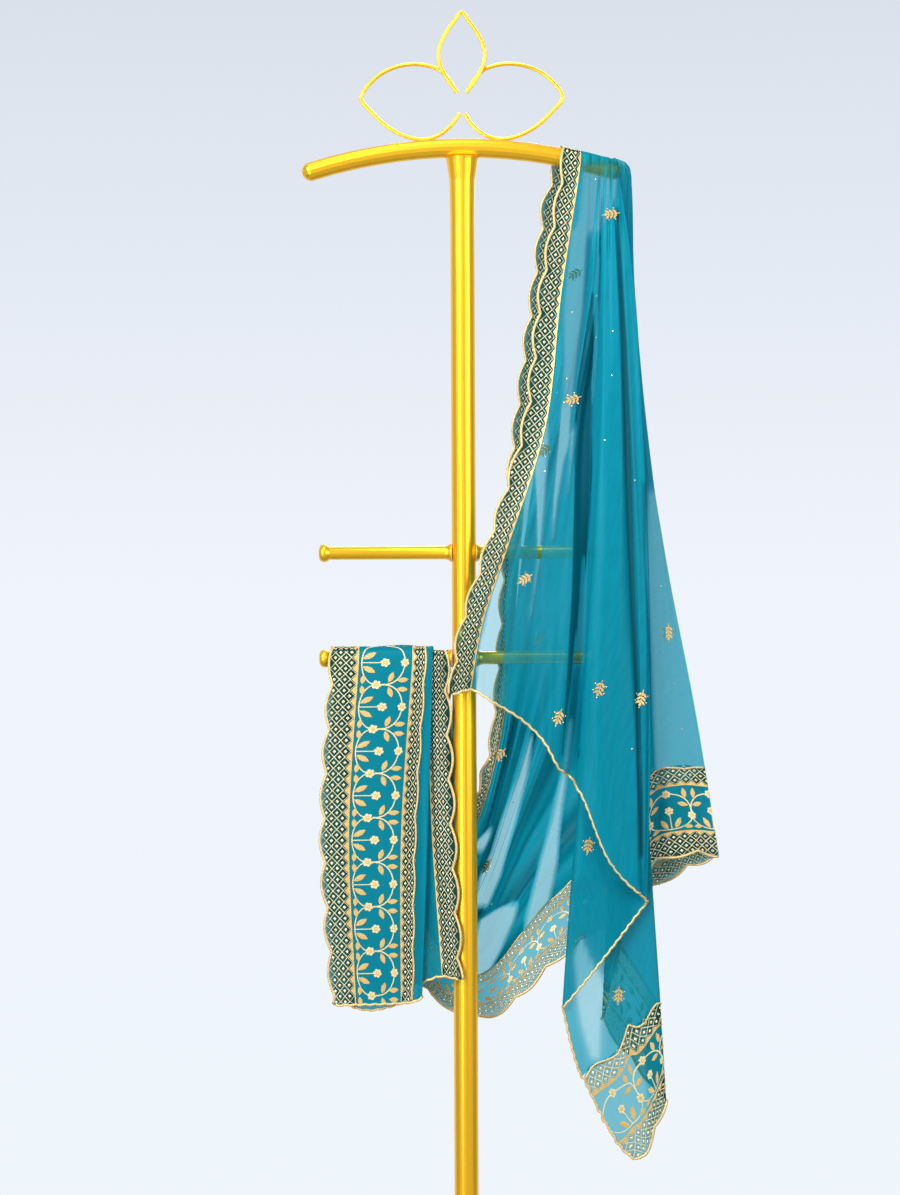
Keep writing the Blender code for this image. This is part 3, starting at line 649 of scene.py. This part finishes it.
def dress_narrow(title, band, mats):
    """Embroiders a stretch of the narrow border."""
    lattice, gold, shine = Stitches(band, 0.45), Stitches(band), Stitches(band)
    diamonds(lattice, shine, [24.0 - ROW * k for k in range(4)])
    sawtooth(gold, 33.0, -1, tall=5.0)
    finish_dress(title, band, lattice, gold, shine, mats)


def finish_dress(title, band, lattice, gold, shine, mats):
    """The meshes of a border's stitching, and the cord on its scalloped edge. Returns the cord's places."""
    lattice.piece(title + "_lattice", mats["lattice"])
    gold.piece(title + "_embroidery", mats["thread"])
    shine.piece(title + "_beads", mats["bead"])
    s = np.arange(0.5, band.length - 0.5, 2.6)
    piping(title + "_outer_cord", band.at(s, -band.scallop(s)), 1.8, mats["cord"])
    return s


def hem_cord(name, line, mats, pitch=13.0, deep=1.3):
    """The piping on a short end, a cord in small scallops."""
    fine = along(line, 0, length_of(line), int(length_of(line) / 1.8))
    run = np.linspace(0, length_of(line), len(fine))
    down = np.cross(unit(np.gradient(fine, axis=0)), (0.0, 1.0, 0.0))
    down *= np.where(down[:, 2:] > 0, -1, 1)
    wave = (np.abs(np.sin(math.pi * run / pitch)) * deep)[:, None]
    piping(name, fine + down * wave, 1.7, mats["cord"])


def shade_folds(grid, gather_and_shade, folds):
    """Draws the cloth together, or opens it, in strips seen from the front, and paints shade on strips past
    doubled. See FRONT_FOLDS.
    """
    grid, gather_and_shade = grid.copy(), np.broadcast_to(gather_and_shade, grid.shape[:2]).copy()
    x, z = grid[..., 0].copy(), grid[..., 2]
    for closeness_and_shade, soft, forward, rows in folds.values():
        at, left, right = np.array(rows[::-1], float).T
        left, right = np.interp(z, at, left), np.interp(z, at, right)
        inside = np.clip((x - left) / soft + 0.5, 0, 1) * np.clip((right - x) / soft + 0.5, 0, 1)
        inside *= np.clip((at[-1] - z) / 12, 0, 1) * np.clip((z - at[0]) / 12, 0, 1)
        gather_and_shade = gather_and_shade * (1 - inside) + closeness_and_shade * inside
        grid[..., 1] -= forward * inside
    return grid, gather_and_shade


def spots(name, grid, places, mats):
    """Sprigs and single beads on a sheet. A place is x, z and an angle for a sprig, or x and z for a bead."""
    gold, shine = Stitches(None, 0.5), Stitches(None)
    normal = normals_of(grid)
    for place in places:
        away = np.hypot(grid[..., 0] - place[0], grid[..., 2] - place[1])
        near = np.argwhere(away < max(5.0, away.min() + 0.1))
        i, j = min(near, key=lambda k: grid[k[0], k[1], 1])  # the foremost of the layers there
        outward = normal[i, j] * (-1 if normal[i, j, 1] > 0 else 1)
        gold.band = shine.band = Spot(grid[i, j], (1.0, 0.0, 0.0), outward)
        if len(place) == 2:
            shine.bead(Spot.MIDDLE, 0.0, 1.2)
        else:
            sprig(gold, shine, -math.radians(place[2]))
    gold.piece(name + "_sprigs", mats["thread"])
    shine.piece(name + "_beads", mats["bead"])


def sprig(stitches, beads, angle):
    """A small stem of paired leaves, with beads at its tips."""
    c, d = math.cos(angle), math.sin(angle)

    def place(x, y):
        return Spot.MIDDLE + c * x - d * y, d * x + c * y

    path = [place(x, 0) for x in (-11, -5, 1, 6)]
    stitches.ribbon([q[0] for q in path], [q[1] for q in path], 1.1)
    stitches.leaf_to(*place(5, 0), *place(12, 0), 3.4)
    for x in (-7, -2, 3):
        for way in (-1, 1):
            stitches.leaf_to(*place(x, 0), *place(x + 5.5, way * 6.2), 3.0)
    for x, y in ((13, 0), (-4, 7.5), (5, 7.5), (-4, -7.5), (5, -7.5)):
        beads.bead(*place(x, y), 1.0)


def node_material(name):
    mat = bpy.data.materials.new(name)
    mat.use_nodes = True
    tree = mat.node_tree
    for node in list(tree.nodes):
        tree.nodes.remove(node)
    return mat, tree, tree.nodes.new("ShaderNodeOutputMaterial").inputs[0]


def feed(tree, socket, value):
    """Gives a socket a link from another, or a set value."""
    if isinstance(value, bpy.types.NodeSocket):
        tree.links.new(value, socket)
    else:
        socket.default_value = value


def add(tree, kind, **values):
    """A shader node, with its inputs and its other settings given by name."""
    node = tree.nodes.new("ShaderNode" + kind)
    for key, value in values.items():
        if key.replace("_", " ") in node.inputs:
            feed(tree, node.inputs[key.replace("_", " ")], value)
        else:
            setattr(node, key, value)
    return node


def ranged(tree, value, low, high, to_low=0.0, to_high=1.0):
    """A value carried from one range to another."""
    node = add(tree, "MapRange", Value=value, From_Min=low, From_Max=high, To_Min=to_low, To_Max=to_high)
    return node.outputs[0]


def shades(tree, value, stops):
    """Colours along a value from 0 to 1, with a place and a colour to each stop."""
    ramp = add(tree, "ValToRGB", Fac=value)
    stretch = ramp.color_ramp.elements
    stretch[0].position, stretch[1].position = stops[0][0], stops[-1][0]
    stretch[0].color, stretch[1].color = (*stops[0][1], 1), (*stops[-1][1], 1)
    for at, color in stops[1:-1]:
        stretch.new(at).color = (*color, 1)
    return ramp.outputs[0]


def mixed(tree, share, first, second, **values):
    """Two colours mixed by the share of the second."""
    node = add(tree, "Mix", data_type="RGBA", **values)
    for place, value in ((0, share), (6, first), (7, second)):
        feed(tree, node.inputs[place], value)
    return node.outputs[2]


def blend(tree, share, first, second):
    """Two shaders mixed by the share of the second."""
    node = add(tree, "MixShader")
    for socket, value in zip(node.inputs, (share, first, second)):
        feed(tree, socket, value)
    return node.outputs[0]


OPEN_TINT, GLOSS = (0.66, 0.91, 0.95, 1), (0.35, 0.9, 1.0, 1)


def sheer(name, seen, passed, cover, net=False):
    """Thin dyed cloth: part of the light passes tinted, and the rest is scattered on both sides.

    seen is the colour of its threads, passed the tint of the light between them, cover the threads' share.
    Past doubled, the seen colour darkens into painted shade.
    """
    mat, tree, out = node_material(name)
    uv = add(tree, "UVMap", uv_map="cloth").outputs[0]
    stretch = add(tree, "Mapping", Vector=uv, Scale=(1.0, 0.16, 1.0)).outputs[0]
    streak = add(tree, "TexNoise", Vector=stretch, Scale=170.0, Detail=4.0, Roughness=0.6).outputs[0]
    fine = add(tree, "TexNoise", Vector=uv, Scale=900.0, Detail=2.0).outputs[0]
    drawn_and_shaded = add(tree, "Attribute", attribute_name="gather_and_shade").outputs["Fac"]
    tone = shades(tree, streak, ((0.3, (seen[0] * 0.9, seen[1] * 0.95, seen[2] * 0.95)),
                                 (0.72, (seen[0] * 1.1, seen[1] * 1.05, seen[2] * 1.05))))
    # Painted shade: from 1 to 2 on the cloth's value the colour darkens towards a dim teal
    color = mixed(tree, ranged(tree, drawn_and_shaded, 1.0, 2.0), tone, (0.0, seen[1] * 0.26, seen[2] * 0.28, 1))
    tint = mixed(tree, ranged(tree, drawn_and_shaded, -1.0, 0.0, 1.0, 0.0), (*passed, 1), OPEN_TINT)
    bump = add(tree, "Bump", Height=streak, Strength=0.15, Distance=0.0005).outputs[0]
    grain = add(tree, "Bump", Height=fine, Normal=bump, Strength=0.25, Distance=0.0003).outputs[0]
    diffuse = add(tree, "BsdfDiffuse", Color=color, Normal=grain).outputs[0]
    glow = add(tree, "BsdfTranslucent", Color=color, Normal=grain).outputs[0]
    gloss = add(tree, "BsdfGlossy", Color=GLOSS, Roughness=0.42, Normal=grain).outputs[0]
    silky = blend(tree, 0.014, blend(tree, 0.42, diffuse, glow), gloss)
    if net:
        holes = add(tree, "TexVoronoi", Vector=uv, Scale=620.0).outputs["Distance"]
        level = ranged(tree, holes, 0.25, 0.5, cover - 0.12, cover + 0.12)
    else:
        level = ranged(tree, streak, 0.32, 0.68, cover - 0.03, cover + 0.04)
    dense = add(tree, "Math", operation="MULTIPLY_ADD", use_clamp=True)
    for socket, value in zip(dense.inputs, (drawn_and_shaded, 0.42, level)):
        feed(tree, socket, value)
    gap = add(tree, "BsdfTransparent", Color=tint).outputs[0]
    feed(tree, out, blend(tree, dense.outputs[0], gap, silky))
    return mat


def metallic(name, dark, light, metal, rough, grain_scale, depth, strength=0.3):
    """Gold thread or beads: two tones of one colour with a fine surface grain."""
    mat, tree, out = node_material(name)
    place = add(tree, "TexCoord").outputs["Object"]
    noise = add(tree, "TexNoise", Vector=place, Scale=grain_scale, Detail=3.0).outputs[0]
    tone = shades(tree, noise, ((0.35, dark), (0.65, light)))
    bump = add(tree, "Bump", Height=noise, Strength=strength, Distance=depth).outputs[0]
    worn = ranged(tree, noise, 0.0, 1.0, rough - 0.08, rough + 0.1)
    body = add(tree, "BsdfPrincipled", Base_Color=tone, Metallic=metal, Roughness=worn, Normal=bump)
    feed(tree, out, body.outputs[0])
    return mat


materials = {
    "cloth": sheer("georgette_sheer", (0.0015, 0.33, 0.445), (0.33, 0.64, 0.70), 0.45),
    "lined": sheer("border_cloth", (0.0015, 0.27, 0.36), (0.16, 0.60, 0.68), 0.60),
    "net": sheer("border_net", (0.006, 0.060, 0.052), (0.25, 0.55, 0.54), 0.50, net=True),
    "lattice": metallic("pale_gold_thread", (0.56, 0.48, 0.24), (0.84, 0.75, 0.46), 0.2, 0.45, 1500.0,
                        0.0003),
    "thread": metallic("gold_thread", (0.52, 0.31, 0.08), (0.82, 0.57, 0.22), 0.3, 0.42, 1500.0, 0.0003),
    "cream": metallic("cream_thread", (0.62, 0.48, 0.22), (0.88, 0.75, 0.45), 0.2, 0.42, 1500.0, 0.0003),
    "cord": metallic("gold_cord", (0.56, 0.38, 0.13), (0.86, 0.66, 0.33), 0.4, 0.4, 900.0, 0.0005, 0.6),
    "bead": metallic("gold_bead", (0.80, 0.70, 0.42), (0.98, 0.92, 0.70), 0.7, 0.2, 400.0, 0.0002),
}
paint, paint_tree, paint_out = node_material("stand_gold_paint")
satin = add(paint_tree, "BsdfPrincipled", Base_Color=(0.98, 0.54, 0.020, 1), Metallic=0.7, Roughness=0.33)
feed(paint_tree, paint_out, satin.outputs[0])

for name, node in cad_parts.items():
    if name.startswith(("stand_", "lotus_", "upper_", "lower_")):
        for slot in node.material_slots:
            slot.material = paint

WIDE_LINES = (2, 5, 10, 15, 20, 25, OUTER, 38, 46, 54, 62, 70, 78, 87, OUTER + FLORAL, 101, 106, 111)
WIDE_NET = (*range(7), *range(15, 19))  # the steps across that are net and not plain cloth
NARROW_LINES = (2, 5, 10, 15, 20, 25)


# Strips of the cloth as seen from the front: how close it is drawn (see cloth_sheet), how soft its sides are
# and how far it stands forward, in mm, then rows of height, left and right side. Above 1 the first is painted
# shade.
FRONT_FOLDS = {
    "column": (1.0, 3, 1.5, ((1414, 181, 204), (1250, 180, 209), (1104, 176, 212), (907, 160, 217),
                             (818, 156, 221), (669, 152, 226), (540, 146, 226))),
    "bar_seen": (1.0, 3, 0, ((1552, 158, 214), (1480, 160, 211))),
    "light_top": (-0.5, 9, 0, ((1500, 162, 210), (1447, 157, 205), (1394, 150, 181))),
    "light_band": (-0.5, 9, 1, ((1420, 145, 168), (1301, 134, 161), (1248, 133, 154), (1181, 132, 146),
                                (1104, 132, 140))),
    "pleat_one": (1.0, 2.5, -1, ((1480, 181, 184), (1394, 172, 175), (1320, 164, 167), (1240, 160, 163))),
    "pleat_two": (1.0, 2.5, -1, ((1492, 189, 192), (1400, 182, 185), (1320, 177, 180))),
    # pleat_three is a little past doubled: a faint painted shade down the pleat
    "pleat_three": (1.1, 2.5, -1, ((1494, 197, 200), (1420, 192, 196), (1360, 189, 193))),
    "strip_left": (0.6, 3, -1, ((1282, 124, 130), (1225, 118, 132), (1104, 81, 92))),
    # Painted shade in the deep recess at the column's left side
    "dark_wedge": (1.9, 2.5, -2, ((1330, 171, 174), (1250, 158, 173), (1198, 150, 173), (1141, 146, 170),
                                  (1085, 146, 170), (982, 143, 164), (907, 140, 158), (847, 137, 156),
                                  (782, 132, 154), (700, 126, 150))),
    "thin_light": (-0.9, 1.5, 1, ((1380, 178, 182), (1314, 176, 179), (1250, 174, 178), (1172, 170, 173))),
    "recess_light": (-0.2, 1.5, 0, ((975, 157, 160), (907, 153, 159), (847, 145, 157), (782, 138, 154),
                                    (729, 132, 151), (682, 128, 142))),
    "wedge_a": (-0.95, 2, 1, ((1180, 90, 112), (1128, 92, 114), (1040, 96, 108), (966, 97, 101),
                              (880, 85, 87))),
    "wedge_b": (-0.95, 2, 1, ((1180, 130, 142), (1128, 126, 140), (1048, 118, 126), (985, 116, 118))),
    "wedge_c": (-0.9, 2, 1, ((1150, 143, 149), (1128, 142, 148), (1043, 135, 137))),
    "single": (-0.8, 2, 0, ((1020, 56, 60), (954, 41, 58), (906, 33, 53), (847, 19, 52), (770, 13, 45))),
    # Painted shade down two creases at the right of the front fall, the second a little lighter
    "crease_1": (1.9, 4, -2, ((1440, 202, 207), (1314, 206, 213), (1250, 209, 217), (1104, 211, 222),
                              (907, 217, 226), (758, 223, 231), (649, 226, 234), (569, 227, 234))),
    "crease_2": (1.7, 4, -1, ((1075, 234, 241), (982, 235, 242), (847, 241, 247), (680, 246, 253))),
    "panel": (-0.25, 9, 0, ((1068, 245, 261), (968, 242, 276), (847, 248, 294), (660, 254, 326))),
    "light_patch": (-0.6, 12, 0, ((482, 150, 152), (448, 139, 166), (400, 142, 190), (350, 150, 180),
                                  (300, 165, 178))),
}
POINT_CLOSENESS = ((160, -0.4), (235, -0.4), (250, 0.5))  # light passes where one layer hangs alone
SWAG_CLOSENESS = ((-30, 0.5), (10, -0.1), (60, -0.35), (150, -0.35), (220, 0.2), (245, 0.8))
LIGHT_FOLDS = ("light_top", "light_band", "wedge_a", "wedge_b", "wedge_c", "panel")  # open on the back too
SWAG_FOLDS = {
    "streak_one": (-0.35, 6, 4, ((740, 92, 94), (676, 72, 84), (617, 49, 69), (576, 36, 57), (543, 20, 48),
                                 (495, 10, 27))),
    "streak_two": (-0.35, 6, 4, ((760, 142, 147), (680, 131, 138), (622, 118, 130), (560, 100, 124),
                                 (484, 82, 108), (455, 78, 102))),
    "wedge_high": (-0.3, 5, 2, ((612, 36, 39), (593, 17, 33), (570, 5, 21))),
    "wedge_low": (-0.35, 6, 2, ((512, 70, 73), (484, 20, 66), (443, 10, 48), (395, 2, 24))),
}
# Sprigs at x, z and an angle, and single beads at x and z, all seen from the front
FRONT_SPRIGS = ((194, 1424, 170), (144, 1182, 160), (85, 942, 150), (121, 763, 110), (174, 799, 110),
                (235, 785, 105), (275, 874, 90), (165, 596, 100), (202, 394, 95), (181, 1472), (198, 1270),
                (197, 1214), (140, 1205), (182, 1125), (105, 1087), (229, 1071), (265, 934), (281, 805),
                (293, 742), (221, 720), (142, 1298), (176, 1318))
BACK_SPRIGS = ((150, 1346, 150), (109, 1111, 140), (232, 1080, 100), (52, 708, 135), (195, 1180, 120),
               (160, 985, 100), (210, 940, 80), (100, 860, 120), (178, 1262), (128, 1190), (180, 1060),
               (140, 905), (70, 640), (25, 560, 150), (40, 505))


def narrow_strip(title, band):
    return band.sheet(title + "_net", materials["net"], materials["lined"], NARROW_LINES, range(7))


def wide_strip(title, band, closeness_and_shade=DOUBLED):
    return band.sheet(title + "_net", materials["net"], materials["lined"], WIDE_LINES, WIDE_NET, closeness_and_shade)


# The painted stand
for level, height in (("upper", UPPER_ARM_Z), ("lower", LOWER_ARM_Z)):
    for side, way in (("left", -1), ("right", 1)):
        name = "%s_%s_arm" % (level, side)
        arm = turned_rod(name + "_painted", ARM_PROFILE, way, height, paint)
        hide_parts(name)

# The front fall
FRONT_WAVES = [(9, 0.6, 1.3, 0.0), (17, -0.8, 0.9, 1.0), (31, 1.7, 0.5, 2.2)]
TUCK = 5  # mm of plain cloth that goes under the wide border
# How closely the cloth is drawn along its main fold lines
FRONT_GATHER = {"narrow_seam": 0.1, "sheer_crest": 0.35, "sheer_hollow": 0.15, "sheer_swell": 0.4,
                "sheer_side": 0.5, "recess": 0.75, "column_left": 0.85, "column_face": 0.9,
                "column_crease": 1.0, "second_face": 0.9, "second_side": 1.0, "under_mid": 0.7,
                "under_left": 0.6, "border_start": 0.6, "point": 0.4, "point_right": 0.5, "inner_left": 0.7,
                "panel_left": 0.35, "panel_mid": 0.3, "ridge": 0.7}
grid, reach, row_at = full_front()
grid = crinkle(grid, FRONT_WAVES)
total = np.array([length_of(line) for line in grid])
seam, start = row_at["narrow_seam"], row_at["border_start"]
hem = total[seam:] - np.maximum(reach[seam:] - TUCK, 0)
front = cut_rows(grid[seam:], 0 * hem, hem, 200)
gather_and_shade = np.interp(seam + np.arange(len(front)), [row_at[k] for k in FRONT_GATHER], [*FRONT_GATHER.values()])
front, gather_and_shade = shade_folds(front, gather_and_shade[:, None], FRONT_FOLDS)
piece = cloth_sheet("front_fall_cloth", front, materials["cloth"], gather_and_shade)
spots("front", front, FRONT_SPRIGS, materials)
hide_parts("front_fall")
sheets = {"front_fall_cloth": piece}

edge = cut_rows(grid[: seam + 1], 0 * total[: seam + 1], total[: seam + 1], 260)
narrow = Band(np.swapaxes(edge, 0, 1), NARROW, inset=((0, 9), (380, 9), (560, 2), (700, 0)))
sheets["front_narrow_net"] = narrow_strip("front_narrow", narrow)
dress_narrow("front_narrow", narrow, materials)

lines = cut_rows(grid[start:], total[start:], total[start:] - np.maximum(reach[start:], 6), 40)
corner = corner_band(lines, row_at["point"] - start)
wide = Band(corner, WIDE)
hem_cord("front_hem_cord", np.concatenate([grid[:start, -1], corner[0, ::-1]]), materials)
sheets["front_wide_net"] = wide_strip("front_wide", wide, POINT_CLOSENESS)
dress_wide("front_wide", wide, materials)

# The back fall, the swag and the end over the arm
# For each stretch: its node, the start of its borders' names, how closely the wide one is drawn, the steps
# between the points of its fold lines, and its small waves
STRETCHES = (
    ("back_swag", "swag", SWAG_CLOSENESS, (6, 6, 50, 50, 50, 36, 26, 20, 8, 8),
     [(7, 0.5, 1.2, 0.4), (15, -0.6, 0.8, 1.9), (27, 1.2, 0.4, 0.3)]),
    ("arm_fall", "arm", DOUBLED, (8, 8, 60, 60), [(6, 0.4, 0.8, 0.9), (13, -0.7, 0.5, 2.0)]),
)
names = row_names(BACK)
counts = [3 if a == b else 18 for a, b in zip(names, names[1:])]
edge, last_seam = counts[0], sum(counts[:-1])
for (title, short, closeness_and_shade, counts_along, waves), lines in zip(STRETCHES, back_lines()):
    grid = crinkle(across([spline(line, counts_along) for line in lines], counts), waves, 0.08)
    plain = grid[edge : last_seam + 1]
    u, v = np.linspace(0, 1, len(plain))[:, None], np.linspace(0, 1, grid.shape[1])[None, :]
    if title == "back_swag":
        # Painted shade on the lower swag: from 900 mm down (full at 740) and left of x 215 to 240 the cloth
        # goes past doubled, in waves across it
        low = np.clip((900 - plain[..., 2]) / 160, 0, 1) * np.clip((240 - plain[..., 0]) / 25, 0, 1)
        gather_and_shade = 0.75 + 0.8 * low + 0.3 * np.sin(2 * math.pi * (5.5 * u - 1.1 * v)) * low
        behind = {key: (-0.5, 5, 0, FRONT_FOLDS[key][3]) for key in LIGHT_FOLDS}
        plain, gather_and_shade = shade_folds(plain, gather_and_shade, {**behind, **SWAG_FOLDS})
        spots("back", plain, BACK_SPRIGS, materials)
    else:
        gather_and_shade = 0.5 + 0.4 * np.sin(2 * math.pi * 4.0 * u) + 0 * v
        hem_cord("arm_hem_cord", grid[:, -1], materials)
    piece = cloth_sheet(title + "_cloth", plain, materials["cloth"], gather_and_shade)
    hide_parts(title)
    sheets[title + "_cloth"] = piece
    wide = Band(np.swapaxes(grid[: edge + 1], 0, 1), WIDE)
    sheets[short + "_wide_net"] = wide_strip(short + "_wide", wide, closeness_and_shade)
    dress_wide(short + "_wide", wide, materials)
    if title == "back_swag":  # its edge shows past the front's along the upper part
        z = grid[last_seam:, :, 2]
        grid[last_seam:, :, 0] -= 9 * np.clip((z - 900) / 200, 0, 1) * np.clip((1500 - z) / 60, 0, 1)
    narrow = Band(np.swapaxes(grid[last_seam:][::-1], 0, 1), NARROW)
    sheets[short + "_narrow_net"] = narrow_strip(short + "_narrow", narrow)
    dress_narrow(short + "_narrow", narrow, materials)

for name, sheet in sheets.items():
    if name.endswith("_net"):
        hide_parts(name.replace("_net", "_border"))

# Camera and light
K = 1.33  # mm a pixel of the photograph, level with the pole
PHOTO_CENTRE = ((450 - 464) * K * MM, (1288 - 597.5) * K * MM)
DISTANCE = 3.4
camera = link(bpy.data.objects.new("camera", bpy.data.cameras.new("camera")))
camera.data.sensor_width = 36.0
camera.data.lens = 36.0 * DISTANCE / (1195 * K * MM)
camera.location = (PHOTO_CENTRE[0], -DISTANCE, PHOTO_CENTRE[1])
camera.rotation_euler = (math.pi / 2, math.radians(0.25), 0)
bpy.context.scene.camera = camera


def lamp(name, at, target, size, power, color=(1, 1, 1)):
    data = bpy.data.lights.new(name, "AREA")
    data.shape, data.size, data.energy, data.color = "DISK", size, power, color
    obj = link(bpy.data.objects.new(name, data))
    obj.location = at
    way = np.array(target) - np.array(at)
    tilt = math.atan2(math.hypot(way[0], way[1]), -way[2])
    obj.rotation_euler = (tilt, 0, math.atan2(way[1], way[0]) - math.pi / 2)


lamp("key", (-1.9, -2.6, 2.6), (0.05, 0, 0.95), 1.6, 116, (1.0, 0.99, 0.97))
lamp("fill", (2.4, -2.4, 1.6), (0.05, 0, 0.9), 2.2, 58, (0.95, 0.98, 1.0))
lamp("back", (0.6, 2.4, 2.6), (0.05, 0, 1.0), 1.8, 38)
lamp("top", (-0.3, -1.1, 3.3), (0.0, 0, 1.5), 1.2, 26)
lamp("low", (-1.6, -2.6, 0.5), (0.05, 0, 0.45), 1.2, 26)


# A pale wall behind, dim on both sides for the edges of the gold to mirror, and softly lit in front
world = bpy.data.worlds.new("studio")
bpy.context.scene.world = world
world.use_nodes = True
tree = world.node_tree
way = add(tree, "SeparateXYZ", Vector=add(tree, "TexCoord").outputs["Generated"])
DIM, SOFT, WHITE = (0.16, 0.14, 0.12), (0.42, 0.44, 0.46), (1, 1, 1)
around = shades(tree, ranged(tree, way.outputs["Y"], -1, 1),
                ((0, SOFT), (0.3, SOFT), (0.42, DIM), (0.6, DIM), (0.76, WHITE), (1, WHITE)))
height = shades(tree, ranged(tree, way.outputs["Z"], -0.3, 0.3),
                ((0, (0.86, 0.92, 0.97)), (0.5, (0.87, 0.905, 0.98)), (0.75, (0.76, 0.81, 0.89)),
                 (1, (0.65, 0.70, 0.77))))
feed(tree, tree.nodes["Background"].inputs["Color"], mixed(tree, 1.0, around, height, blend_type="MULTIPLY"))
bpy.context.scene.view_settings.view_transform = "Standard"
bpy.context.scene.cycles.transparent_max_bounces = 48
